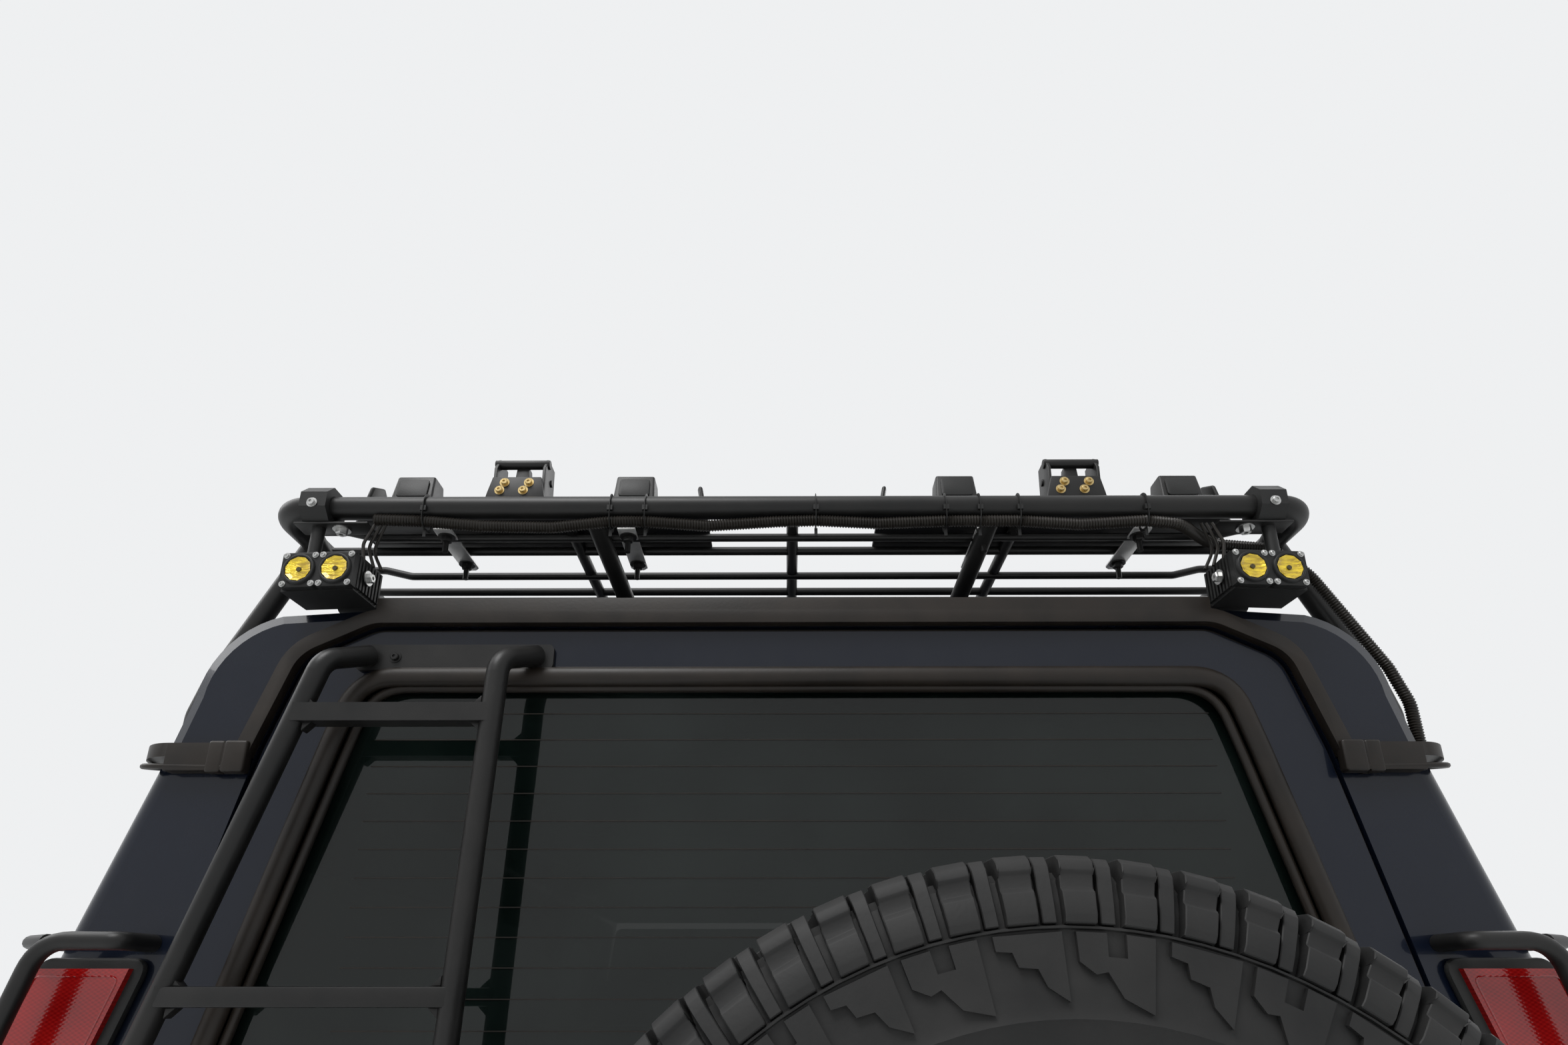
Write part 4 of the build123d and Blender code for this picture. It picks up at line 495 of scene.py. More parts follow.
# %% Turned forms
def turned(mesh, profile, centre, axis, steps):
    """A ring or disc turned from (along, radius) points round an axis."""
    axis = Vector(axis).normalized()
    side = axis.orthogonal().normalized()
    up = axis.cross(side)
    rings = []
    for along, radius in profile:
        if radius < 1e-6:
            rings.append([mesh.verts.new(Vector(centre) + axis * along)])
            continue
        ring = []
        for s in range(steps):
            angle = 2 * math.pi * s / steps
            outward = side * math.cos(angle) + up * math.sin(angle)
            ring.append(mesh.verts.new(Vector(centre) + axis * along + outward * radius))
        rings.append(ring)
    for a, b in zip(rings, rings[1:]):
        for s in range(steps):
            t = (s + 1) % steps
            corners = [a[s % len(a)], a[t % len(a)], b[t % len(b)], b[s % len(b)]]
            corners = list(dict.fromkeys(corners))
            if len(corners) > 2:
                mesh.faces.new(corners)


# %% [markdown]
# No real edge is perfectly sharp, and the small round on it is what catches the light. Every
# bmesh ends here as a finished piece: its doubles are merged, its faces turned outward, its edges
# bevelled where asked, and it is given its finish and the body that it rides. A bevel or a
# subdivision could stay a live modifier, but then later steps would see the unfinished mesh, so
# it is turned into plain mesh first.


# %% Finished pieces
bevel_above = math.radians(35)


def as_data(mesh, name):
    """Turns a bmesh into mesh data and frees it."""
    data = bpy.data.meshes.new(name)
    mesh.to_mesh(data)
    mesh.free()
    return data


def add_object(name, data):
    """An object in the scene with this mesh, lamp or camera."""
    thing = bpy.data.objects.new(name, data)
    bpy.context.scene.collection.objects.link(thing)
    return thing


def bake_modifiers(thing):
    """Turns a piece with its modifiers into a plain mesh."""
    graph = bpy.context.evaluated_depsgraph_get()
    data = bpy.data.meshes.new_from_object(thing.evaluated_get(graph))
    thing.modifiers.clear()
    thing.data = data
    return data


def finish(mesh, name, surface, body, bevel=0, smooth=40, segments=2):
    """Makes a finished piece from a bmesh: faces outward, soft edges, finish and body."""
    bmesh.ops.remove_doubles(mesh, verts=mesh.verts, dist=1e-6)
    bmesh.ops.recalc_face_normals(mesh, faces=mesh.faces)
    data = as_data(mesh, name)
    thing = add_object(name, data)
    if bevel:
        rounding = thing.modifiers.new("edges", "BEVEL")
        rounding.width, rounding.segments, rounding.limit_method = bevel, segments, "ANGLE"
        rounding.angle_limit = bevel_above
        data = bake_modifiers(thing)
    data.shade_smooth()
    data.set_sharp_from_angle(angle=math.radians(smooth))
    data.materials.clear()
    data.materials.append(surface.material)
    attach(thing, body)
    return thing


def softened(node, name, width, segments=2):
    """A copy of a CAD node with rounded edges, shown in its place."""
    source = nodes[node]
    mesh = bmesh.new()
    mesh.from_mesh(source.data)
    bmesh.ops.remove_doubles(mesh, verts=mesh.verts, dist=1e-5)
    bmesh.ops.dissolve_limit(mesh, angle_limit=math.radians(1), verts=mesh.verts, edges=mesh.edges)
    bodies = frame["record"]["behaviour"]["bodies"]
    body = next(body for body, members in bodies.items() if node in members)
    thing = finish(mesh, name, finish_of[slot_of[node]], body, width, 35, segments)
    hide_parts(node)
    return thing


# %% [markdown]
# ## Geometry Nodes for what repeats
# Slats, heater wires, cooling fins, tread blocks and wheel nuts are one shape many times over. An
# Array modifier would set them in a row, but a ring needs an empty to turn about. Two small node
# trees do both with the same named inputs: one sets copies along a line, the other round the X
# axis. The piece's own mesh is the thing that is copied. Each tree ends in real geometry with its
# finish set, because an export drops instances.


# %% Trees that repeat a shape
def repeat_tree(name, round_axis):
    """A node tree that copies its geometry along a line or round the X axis."""
    tree = bpy.data.node_groups.new(name, "GeometryNodeTree")
    for label, way, kind in (
        ("Geometry", "INPUT", "Geometry"), ("Count", "INPUT", "Int"), ("Step", "INPUT", "Vector"),
        ("Finish", "INPUT", "Material"), ("Geometry", "OUTPUT", "Geometry"),
    ):
        tree.interface.new_socket(label, in_out=way, socket_type=f"NodeSocket{kind}")
    entry = add_node(tree, "NodeGroupInput").outputs
    offset = (0, 0, 0) if round_axis else entry["Step"]
    line = add_node(tree, "GeometryNodeMeshLine", None, {"Count": entry["Count"], "Offset": offset})
    laid = {"Points": line.outputs["Mesh"], "Instance": entry["Geometry"]}
    if round_axis:
        order = add_node(tree, "GeometryNodeInputIndex").outputs[0]
        turn = {0: entry["Step"], "Scale": order}
        laid["Rotation"] = add_node(tree, "ShaderNodeVectorMath", {"operation": "SCALE"}, turn).outputs[0]
    copies = add_node(tree, "GeometryNodeInstanceOnPoints", None, laid).outputs[0]
    real = add_node(tree, "GeometryNodeRealizeInstances", None, {0: copies}).outputs[0]
    coated = {"Geometry": real, "Material": entry["Finish"]}
    coat = add_node(tree, "GeometryNodeSetMaterial", None, coated).outputs[0]
    add_node(tree, "NodeGroupOutput", None, {0: coat})
    return tree


in_line = repeat_tree("repeat_in_line", False)
round_axle = repeat_tree("repeat_round", True)


# %% [markdown]
# A tree's inputs are set by their identifiers before the object is first evaluated. The modifier
# could stay on the piece, but a repeated form often has to be joined to others before it becomes
# a piece, as the tread is to its carcass. So the result comes back as a bmesh.


# %% Running a tree and joining meshes
def apply_tree(mesh, tree, surface, **values):
    """Runs a tree on a bmesh and gives the result back as a bmesh."""
    bmesh.ops.recalc_face_normals(mesh, faces=mesh.faces)
    thing = add_object("seed", as_data(mesh, "seed"))
    step = thing.modifiers.new("repeat", "NODES")
    step.node_group = tree
    values["Finish"] = surface.material
    for item in tree.interface.items_tree:
        if item.in_out == "INPUT" and item.name in values:
            step[item.identifier] = values[item.name]
    data = bake_modifiers(thing)
    bpy.data.objects.remove(thing)
    out = bmesh.new()
    out.from_mesh(data)
    bpy.data.meshes.remove(data)
    return out


def place(mesh, matrix):
    """Moves a whole bmesh."""
    bmesh.ops.transform(mesh, matrix=matrix, verts=mesh.verts)
    return mesh


def pour(part, whole):
    """Adds one bmesh to another and frees it."""
    data = as_data(part, "part")
    whole.from_mesh(data)
    bpy.data.meshes.remove(data)


def joined(*parts):
    """Several bmeshes as one."""
    whole = bmesh.new()
    for part in parts:
        pour(part, whole)
    return whole


print("repeat trees ready")

# %% [markdown]
# ## Fastenings
# Bolts are everywhere on a built-up truck. Each is a hexagon or a button head on a washer. A flat
# disc with a drawn head would do from afar, but a bolt stands proud and catches light on its rim,
# so head and washer are both turned from a profile. One piece holds all the bolts of a kind on a
# body, which keeps the list of pieces short.


# %% Bolts
def bolt(mesh, centre, out, size, hexagon=True):
    """A bolt head with its washer, standing off a surface."""
    washer_r, washer_t = size * 0.75, size * 0.12
    turned(mesh, [(0, 0), (0, washer_r), (washer_t, washer_r), (washer_t, 0)], centre, out, 20)
    top, head_r = size * 0.55, size / 2
    head = [
        (size * 0.1, 0), (size * 0.1, head_r), (top * 0.85, head_r), (top, size * 0.42),
        (top, size * 0.2), (top * 0.7, size * 0.17), (top * 0.7, 0),
    ]
    turned(mesh, head, centre, out, 6 if hexagon else 18)


# %% [markdown]
# ## Tyres
# The chunky all-terrain tread is what people notice first on this spare wheel. A bump texture
# would leave its outline smooth, so every block is geometry. Drawing the whole ring would be
# slow, so one pitch of the tread is modelled and the tree copies it round the axle.

# %% Tyre sizes
tyre_low, tyre_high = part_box("tyre_rear_left")
tyre_r = (tyre_high[2] - tyre_low[2]) / 2
tyre_half = (tyre_high[0] - tyre_low[0]) / 2
bead_r, bead_x = 0.2155, 0.088
groove_r = tyre_r - 0.013
pitches = 56
pitch = 2 * math.pi / pitches


def on_tyre(x, radius, angle):
    """A point at a radius and an angle round the axle, which is the X axis."""
    return x, -radius * math.sin(angle), radius * math.cos(angle)


def below_crown(points):
    """Turns (place across, depth below the crown) into (place across, radius)."""
    return [(x, tyre_r - depth) for x, depth in points]


print("tyre radius", round(tyre_r, 4), "half width", round(tyre_half, 4))

# %% [markdown]
# A block in the middle of the tread narrows a little towards its face, so that stones let go. It
# also stands at a slant, which keeps the tyre quiet. A cube could be tapered and sheared, but its
# foot has to follow the round of the tyre. Two rings of four corners, each at its own radius,
# give all three at once.


# %% Centre blocks
def lug(mesh, across, top_depth, shares, skew):
    """A tread block between two places across and two shares of a pitch."""
    x0, x1 = across
    a0, a1, slant = shares[0] * pitch, shares[1] * pitch, skew * pitch
    rings = []
    for r, shrink in ((groove_r, 0), (tyre_r - top_depth, 0.0012)):
        near, far = x0 + shrink, x1 - shrink
        ring = []
        for x, a in ((near, a0), (far, a0 + slant), (far, a1 + slant), (near, a1)):
            inward = 1 if a < (a0 + a1) / 2 + slant else -1
            ring.append(mesh.verts.new(on_tyre(x, r, a + shrink / r * inward)))
        rings.append(ring)
    walled(mesh, *rings)


# %% [markdown]
# The shoulder lugs wrap from the tread over the edge and down the sidewall. A straight block
# could be bent with a Simple Deform modifier, but the steps in a lug have to fall at known
# depths. So a lug is a path across the tyre, given a thickness and swept over part of a pitch.
# Long stepped lugs take turns with short plain ones.


# %% Shoulder lugs
def shoulder_lug(mesh, hand, path, shares):
    """A block that wraps from the tread over the shoulder to the sidewall."""
    tread_points, tread_t, wall_t, wall_rise = 4, 0.014, 0.011, 0.003
    inmost_x, twist = 0.070, 0.0015
    inner = [
        (max(x - tread_t, inmost_x), r - tread_t) if k < tread_points else (x - wall_t, r - wall_rise)
        for k, (x, r) in enumerate(path)
    ]

    def laid(line, share):
        """The corners along one edge of the lug."""
        angle = share * pitch
        return [mesh.verts.new(on_tyre(hand * x, r, angle + twist * k)) for k, (x, r) in enumerate(line)]

    outer_a, outer_b = (laid(path, share) for share in shares)
    inner_a, inner_b = (laid(inner, share) for share in shares)
    for k in range(len(path) - 1):
        mesh.faces.new((outer_a[k], outer_a[k + 1], outer_b[k + 1], outer_b[k]))
        mesh.faces.new((inner_a[k], inner_b[k], inner_b[k + 1], inner_a[k + 1]))
        mesh.faces.new((outer_a[k], inner_a[k], inner_a[k + 1], outer_a[k + 1]))
        mesh.faces.new((outer_b[k], outer_b[k + 1], inner_b[k + 1], inner_b[k]))
    mesh.faces.new((outer_a[0], outer_b[0], inner_b[0], inner_a[0]))
    mesh.faces.new((outer_a[-1], inner_a[-1], inner_b[-1], outer_b[-1]))


stepped_lug = below_crown([
    (0.076, 0.0006), (0.106, 0.0018), (0.116, 0.0065), (0.1205, 0.014), (0.1195, 0.017),
    (0.1215, 0.027), (0.1275, 0.030), (0.1320, 0.046), (0.1322, 0.052),
])
plain_lug = below_crown([
    (0.076, 0.0012), (0.104, 0.0030), (0.113, 0.010), (0.1175, 0.018), (0.1215, 0.028),
    (0.1260, 0.040), (0.1290, 0.052),
])

# %% [markdown]
# One pitch has two shoulder lugs and three blocks on each side, and two blocks on the centre
# line. A boolean could weld them to the carcass, but it would be slow and fragile over some 670
# blocks, so they only sink into it. Each block's edges are broken by a small bevel, which is what
# catches the light.

# %% Tread
tread = bmesh.new()
for hand in (-1, 1):
    shoulder_lug(tread, hand, stepped_lug, (0.36, 0.90))
    shoulder_lug(tread, hand, plain_lug, (0.05, 0.30))
    for near, far, depth, shares, skew in (
        (0.030, 0.046, 0.0006, (0.05, 0.46), 0.05),
        (0.048, 0.070, 0.0008, (0.00, 0.44), 0.08),
        (0.034, 0.068, 0.0008, (0.54, 0.92), -0.06),
    ):
        lug(tread, sorted((hand * near, hand * far)), depth, shares, hand * skew)
lug(tread, (-0.026, 0.024), 0.0004, (0.08, 0.47), 0.10)
lug(tread, (-0.022, 0.027), 0.0004, (0.56, 0.95), -0.08)
bmesh.ops.recalc_face_normals(tread, faces=tread.faces)
bmesh.ops.bevel(tread, geom=tread.edges[:], offset=0.0008, segments=1, affect="EDGES", clamp_overlap=True)
tread = apply_tree(tread, round_axle, tread_rubber, Count=pitches, Step=(pitch, 0, 0))
print("tread faces", len(tread.faces))

# %% [markdown]
# The sidewall has its own flat blocks, which bite in soft ground. Displacement could raise them,
# but edges as sharp as these would need a very fine mesh. Each is an outline in shares of a step
# and depths below the crown, laid on the wall where it swells towards the rim. Two shapes take
# turns.

# %% Side biters
biters_round = 36
biter_step = 2 * math.pi / biters_round


def side_block(mesh, hand, outline):
    """A flat block on the sidewall, from (share of a step, depth below the crown)."""
    wall_x, swell, swell_from, swell_over = 0.1300, 0.0045, 0.058, 0.030
    proud, sunk = 0.0012, 0.008
    face, foot = [], []
    for share, depth in outline:
        x = wall_x + swell * min(max((depth - swell_from) / swell_over, 0), 1)
        spot = tyre_r - depth, share * biter_step
        face.append(mesh.verts.new(on_tyre(hand * (x + proud), *spot)))
        foot.append(mesh.verts.new(on_tyre(hand * (x - sunk), *spot)))
    mesh.faces.new(face)
    for i in range(len(face)):
        j = (i + 1) % len(face)
        mesh.faces.new((face[i], foot[i], foot[j], face[j]))


claw = [
    (0.06, 0.058), (0.84, 0.058), (0.84, 0.068), (0.66, 0.070), (0.62, 0.080), (0.40, 0.082),
    (0.32, 0.094), (0.06, 0.104),
]
notched_claw = [
    (1.02, 0.058), (1.34, 0.058), (1.34, 0.074), (1.56, 0.074), (1.56, 0.058), (1.90, 0.058),
    (1.90, 0.078), (1.72, 0.086), (1.58, 0.084), (1.40, 0.100), (1.02, 0.108),
]
biters = bmesh.new()
for hand in (-1, 1):
    side_block(biters, hand, claw)
    side_block(biters, hand, notched_claw)
pair_step = (2 * biter_step, 0, 0)
biters = apply_tree(biters, round_axle, tread_rubber, Count=biters_round // 2, Step=pair_step)
print("side block faces", len(biters.faces))

# %% [markdown]
# Under the blocks is the carcass: bead, sidewall with its rim guard, a step under the biters, and
# the shoulder. A torus would be too round for it. It is turned from half a profile and the mirror
# image of that half, so the two sidewalls can't differ.

# %% Carcass
carcass_half = [
    (bead_x, bead_r), (0.094, bead_r + 0.012), (0.104, bead_r + 0.022), (0.1235, bead_r + 0.050),
    (tyre_half - 0.0055, bead_r + 0.074), (tyre_half - 0.001, bead_r + 0.080),
    (tyre_half - 0.004, bead_r + 0.088),
] + below_crown([
    (0.1325, 0.098), (0.1315, 0.090), (0.1275, 0.066), (0.1275, 0.0565), (0.1300, 0.0555),
    (0.1300, 0.0540), (0.122, 0.0525), (0.117, 0.034), (0.108, 0.020), (0.096, 0.0135),
])
carcass = bmesh.new()
turned(
    carcass, [(-x, r) for x, r in carcass_half] + carcass_half[::-1] + [(-bead_x, bead_r)],
    (0, 0, 0), ACROSS, 96,
)
tyre_shape = joined(carcass, tread, biters)
bmesh.ops.recalc_face_normals(tyre_shape, faces=tyre_shape.faces)
print("tyre faces", len(tyre_shape.faces))

# %% [markdown]
# The steel wheel gets five wheel nuts, a centre cap and a valve. The five wheels could share one
# mesh, but each rides a different body and carries its place in its own mesh. So the same forms
# are copied, turned and moved to dress all four wheels and the spare.

# %% Wheels in place
hub_face = 0.052
nut_ring_r, nut_size, wheel_nuts = 0.040, 0.024, 5
nuts = bmesh.new()
bolt(nuts, (hub_face, 0, nut_ring_r), ACROSS, nut_size)
nuts = apply_tree(nuts, round_axle, steel, Count=wheel_nuts, Step=(2 * math.pi / wheel_nuts, 0, 0))
cap, valve = bmesh.new(), bmesh.new()
cap_profile = [
    (hub_face - 0.004, 0.026), (hub_face + 0.012, 0.026), (hub_face + 0.017, 0.022), (hub_face + 0.017, 0)
]
turned(cap, cap_profile, (0, 0, 0), ACROSS, 28)
turned(valve, [(0.070, 0), (0.070, 0.005), (0.090, 0.004), (0.090, 0)], (0, 0, 0.176), ACROSS, 10)
rim_kit = joined(cap, valve)

facing_of = {
    "front_left": 0, "front_right": math.pi, "rear_left": 0, "rear_right": math.pi, "spare": math.pi / 2
}
for name, angle in facing_of.items():
    body = "tail_door" if name == "spare" else f"wheel_{name}"
    tyre_node = "spare_tyre" if name == "spare" else f"tyre_{name}"
    spot = Matrix.Translation(middle(tyre_node)) @ Matrix.Rotation(angle, 4, "Z")
    made = finish(place(tyre_shape.copy(), spot), f"{name}_tyre_shape", tread_rubber, body, smooth=28)
    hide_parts(tyre_node)
    finish(place(rim_kit.copy(), spot), f"{name}_wheel_cap", wheel_coat, body)
    finish(place(nuts.copy(), spot), f"{name}_wheel_nuts", steel, body, smooth=30)
for shape in (tyre_shape, nuts, rim_kit):
    shape.free()
print(len(facing_of), "wheels dressed")

# %% [markdown]
# ## Tail door
# The pane sits in a thick rubber seal with large corner radii. A plate with a hole would have
# square edges, and moulded rubber is round in section. So the seal is a tube of oval section that
# covers the edge of the opening, with a smaller lip inside it on the glass.

# %% Window seal
window = mirrored([(684 * MM, 1305 * MM), (568 * MM, 1785 * MM), (543 * MM, 1880 * MM)])
seal_path = rounded(upright(window, tail_y + 0.002), [0.05, 0.5, 0.080, 0.080, 0.5, 0.05], True, 10)
seal = bmesh.new()
tube(seal, seal_path, 0.026, 0.018, closed=True, sides=16)
finish(seal, "tail_window_seal", rubber, "tail_door", smooth=60)

lip_width, lip_height, lip_middle_z = 0.968, 0.955, 1.59
lip_line = [(x * lip_width, lip_middle_z + (z - lip_middle_z) * lip_height) for x, z in window]
lip_path = rounded(upright(lip_line, tail_y - 0.004), [0.05, 0.5, 0.070, 0.070, 0.5, 0.05], True, 10)
lip = bmesh.new()
tube(lip, lip_path, 0.012, 0.010, closed=True, sides=10)
finish(lip, "tail_window_lip", rubber, "tail_door", smooth=60)
print("seal of", len(seal_path), "points")

# %% [markdown]
# Fine heater wires cross the glass. They could be lines in the glass's finish, but the other
# windows share that finish and have no wires. One wire is drawn and the line tree copies it up
# the pane. Behind the glass hangs the high brake lamp, a case with a red lens.

# %% Heater wires and brake lamp
wire_half, wire_z, wire_gap = 0.52, 1.36, 0.034
wire = bmesh.new()
block(wire, (-wire_half, tail_y - 0.0149, wire_z), (wire_half, tail_y - 0.0142, wire_z + 0.0012))
wires = apply_tree(wire, in_line, rubber, Count=15, Step=(0, 0, wire_gap))
finish(wires, "heater_wires", rubber, "tail_door")

lamp, lens = bmesh.new(), bmesh.new()
block(lamp, (-0.085, tail_y - 0.070, 1.806), (0.085, tail_y - 0.026, 1.846))
finish(lamp, "brake_lamp_case", cabin, "tail_door", 0.006)
block(lens, (-0.072, tail_y - 0.027, 1.814), (0.072, tail_y - 0.023, 1.838))
finish(lens, "brake_lamp_lens", red, "tail_door", 0.003)
print("heater wires and brake lamp made")

# %% [markdown]
# The join between the tail door and the body is closed by a black rubber weatherstrip, seen as a
# dark line all round the door. The gap's own shadow could be left to draw that line, but soft
# light reaches into a gap. So a thin black tube along the door's edge is partly rubber and partly
# painted shade: it keeps the gap dark from every side.

# %% Weatherstrip, partly painted gap shade
door_edge = mirrored([
    (0.7555, 0.769), (0.7555, 1.275), (0.6515, 1.785), (0.616, 1.9035), (0.533, 1.9455)
])
edge_radii = [0.01, 0.3, 0.3, 0.045, 0.045, 0.045, 0.045, 0.3, 0.3, 0.01]
strip = bmesh.new()
gap_shade_path = rounded(upright(door_edge, tail_y - 0.012), edge_radii, True, 6)
# This black tube is partly painted shade, which keeps the door gap dark.
tube(strip, gap_shade_path, 0.005, 0.014, closed=True, sides=8)
finish(strip, "tail_door_weatherstrip_gap_shade", rubber, "root", smooth=60)
print("weatherstrip of", len(gap_shade_path), "points")

# %% [markdown]
# ## Ladder
# The CAD rails and rungs stay, and the second rung, which the CAD mesh lacks, is added. On the
# real ladder the welds are hidden behind small gussets at each rung end. A bevel on the joint
# could stand for them, but rail and rung share no edge there, so each gusset is a small triangle
# of plate. The feet are bolted through the door's plate.

# %% Ladder gussets, second rung and bolts
ladder_y = tail_y + 0.062
rung_z = [1.811 - 0.312 * i for i in range(4)]
rail_foot_z, rail_bend_z, rail_top_z = 0.808, 1.290, 1.880
outer_rail, inner_rail = (0.725, 0.725, 0.558), (0.372, 0.364, 0.349)
gusset_t, gusset_leg = 0.014, 0.011


def rail_at(rail, z):
    """Where a rail's centre line is at a height, from its foot, bend and top."""
    low, bend, high = rail
    if z < rail_bend_z:
        return low + (bend - low) * (z - rail_foot_z) / (rail_bend_z - rail_foot_z)
    return bend + (high - bend) * (z - rail_bend_z) / (rail_top_z - rail_bend_z)


gusset = bmesh.new()
for z in rung_z:
    for rail, way in ((outer_rail, -1), (inner_rail, 1)):
        x, y = rail_at(rail, z) + way * 0.0115, ladder_y - gusset_t / 2
        for up in (-1, 1):
            edge = z + up * 0.0108
            corner = [(x, y, edge), (x + way * gusset_leg, y, edge), (x, y, edge + up * gusset_leg)]
            plate(gusset, corner, REARWARD, gusset_t)
finish(gusset, "ladder_gussets", tube_coat, "tail_door", 0.001)

rung, second = bmesh.new(), rung_z[1]
rung_half_y, rung_half_z = 0.0125, 0.0105
block(
    rung, (rail_at(inner_rail, second), ladder_y - rung_half_y, second - rung_half_z),
    (rail_at(outer_rail, second), ladder_y + rung_half_y, second + rung_half_z),
)
finish(rung, "ladder_second_rung", tube_coat, "tail_door", 0.002)

feet = bmesh.new()
low_bolts = [(x, 0.797) for x in (0.745, 0.705, 0.392, 0.352)]
for x, z in low_bolts + [(0.500, 1.905), (0.350, 1.905)]:
    bolt(feet, (x, tail_y + 0.0062, z), REARWARD, 0.010, False)
finish(feet, "ladder_bolts", tube_coat, "tail_door")
print(len(rung_z), "rungs dressed")

# %% [markdown]
# ## Tail lamps
# Each lamp is a red lens with fine ribs, set in a black surround, with a thin raised border
# inside it. A plain rectangle would stand out past the body, because the side leans in above the
# waist. So the outer edge follows the slope of the body side.

# %% Lamp surrounds
waist_x, waist_z = 0.924, 1.275
gutter_x, gutter_z = 0.776, 1.785
tuck, tuck_height = 0.010, 0.345


def skin_x(z):
    """Half-width of the body side at a height."""
    if z > waist_z:
        return waist_x + (gutter_x - waist_x) / (gutter_z - waist_z) * (z - waist_z)
    return waist_x + tuck * (waist_z - z) / tuck_height


surround_edge = [
    (skin_x(1.229) - 0.126, 1.222), (skin_x(1.229) - 0.002, 1.222), (skin_x(waist_z) - 0.002, waist_z),
    (skin_x(1.536) - 0.003, 1.541), (skin_x(1.536) - 0.126, 1.541), (skin_x(waist_z) - 0.126, waist_z),
]
border_edge = [
    (skin_x(1.24) - 0.106, 1.243), (skin_x(1.24) - 0.013, 1.243), (skin_x(waist_z) - 0.013, waist_z),
    (skin_x(1.52) - 0.013, 1.521), (skin_x(1.52) - 0.106, 1.521), (skin_x(waist_z) - 0.106, waist_z),
]
for hand, side in HANDS:
    rim, border = bmesh.new(), bmesh.new()
    plate(rim, rounded(upright(surround_edge, tail_y + 0.0005, hand), 0.018, True, 5), REARWARD, 0.010)
    finish(rim, f"tail_lamp_surround_{side}", plastic, "root", 0.004)
    line = rounded(upright(border_edge, tail_y + 0.0178, hand), 0.008, True, 4)
    tube(border, line, 0.0022, closed=True, sides=6)
    finish(border, f"tail_lamp_border_{side}", red, "root")
print("tail lamps edged")

# %% [markdown]
# Each guard is one bent tube: it leaves the body at the lamp's inner edge, runs outward, turns
# down beside the lamp and comes back below it. Two short stays tie the corners to the side.
# Straight tubes could be joined at the corners, but a bent tube has no joints, so the whole hoop
# is one path with rounded corners.

# %% Lamp guards
guard_top, guard_low, guard_y = 1.557, 1.207, tail_y + 0.052
for hand, side in HANDS:
    guard = bmesh.new()
    top_x, low_x = skin_x(guard_top) - 0.026, skin_x(guard_low) - 0.026
    in_top, in_low = skin_x(guard_top) - 0.112, skin_x(guard_low) - 0.112
    hoop = [
        (hand * in_top, tail_y + 0.0003, guard_top), (hand * in_top, guard_y, guard_top),
        (hand * top_x, guard_y, guard_top), (hand * low_x, guard_y, guard_low),
        (hand * in_low, guard_y, guard_low), (hand * in_low, tail_y + 0.0003, guard_low),
    ]
    hoop_path = rounded(hoop, [0, 0.012, 0.040, 0.040, 0.012, 0], False, 8)
    tube(guard, hoop_path, 0.020, sides=16, facing=(0.1, 0.2, 1))
    for z, x in ((guard_top, top_x), (guard_low, low_x)):
        proud, sunk = hand * (skin_x(z) + 0.012), hand * (skin_x(z) - 0.002)
        stay = [
            (hand * (x - 0.004), guard_y - 0.004, z), (proud, guard_y - 0.030, z),
            (proud, tail_y - 0.055, z), (sunk, tail_y - 0.062, z),
        ]
        tube(guard, rounded(stay, 0.014, False, 5), 0.015, facing=UPWARD)
    thing = finish(guard, f"lamp_guard_{side}", tube_coat, "root", smooth=50)
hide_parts("lamp_guards")
print("lamp guards bent")

# %% [markdown]
# ## Roof rack
# The basket's floor has a slat between each pair of CAD slats, and their ends crank up to the
# perimeter tube. They could be drawn one by one, but they are alike, so one is swept and the line
# tree repeats it forward. The rearmost slat stands closer to the bar and is made apart.

# %% Added slats
slat_z, slat_step = rack_z - 0.004, 0.130
slat_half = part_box("rack_floor")[1][0]
crank = [(slat_half, 0.004), (slat_half - 0.05, 0.004), (slat_half - 0.09, -0.006)]
slat_path = rounded(upright([(-x, z) for x, z in crank] + crank[::-1], 0), 0.03, False, 4)
slat, last_slat = bmesh.new(), bmesh.new()
for each, y, z in ((slat, rack_y - 0.173, slat_z), (last_slat, rack_y - 0.056, slat_z - 0.002)):
    tube(each, slat_path, 0.011, sides=8)
    place(each, Matrix.Translation((0, y, z)))
slat_count = int((rack_y - 0.20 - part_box("rack_floor")[0][1]) / slat_step)
slats = apply_tree(slat, in_line, tube_coat, Count=slat_count, Step=(0, -slat_step, 0))
finish(slats, "rack_slats_between", tube_coat, "root", smooth=50)
finish(last_slat, "rack_slat_last", tube_coat, "root", smooth=50)
print(slat_count, "slats added")

# %% [markdown]
# Zip ties hold the loom to the rear bar. A tie is a thin band round bar and loom, with a square
# head and a short cut tail below. A plain ring would cut through the loom, so the lower part of
# the band is let down to take it in.

# %% Zip ties
tie_places = (0.475, 0.235, 0.190, -0.030, -0.197, -0.241, -0.292, -0.455)
tie_r, loom_drop, band_points = 0.0160, 0.0165, 24
tie_parts = ((0.0035, (0.0125, 0.0172), (0.012, 0.005)), (0.002, (0.002, 0.0035), (0.043, 0.032)))
ties = bmesh.new()
for x in tie_places:
    band = []
    for s in range(band_points):
        a = 2 * math.pi * s / band_points
        drop = loom_drop if math.sin(a) < -0.2 else 0
        y, z = rack_y + 0.0008 + tie_r * math.cos(a), rack_z + tie_r * math.sin(a) - drop
        band.append(Vector((x, y, z)))
    tube(ties, band, 0.0045, 0.0016, closed=True, sides=6, facing=(1, 0, 0.01))
    for half, (y0, y1), (z0, z1) in tie_parts:
        block(ties, (x - half, rack_y + y0, rack_z - z0), (x + half, rack_y + y1, rack_z - z1))
finish(ties, "loom_ties", plastic, "root", smooth=50)
print(len(tie_places), "ties")
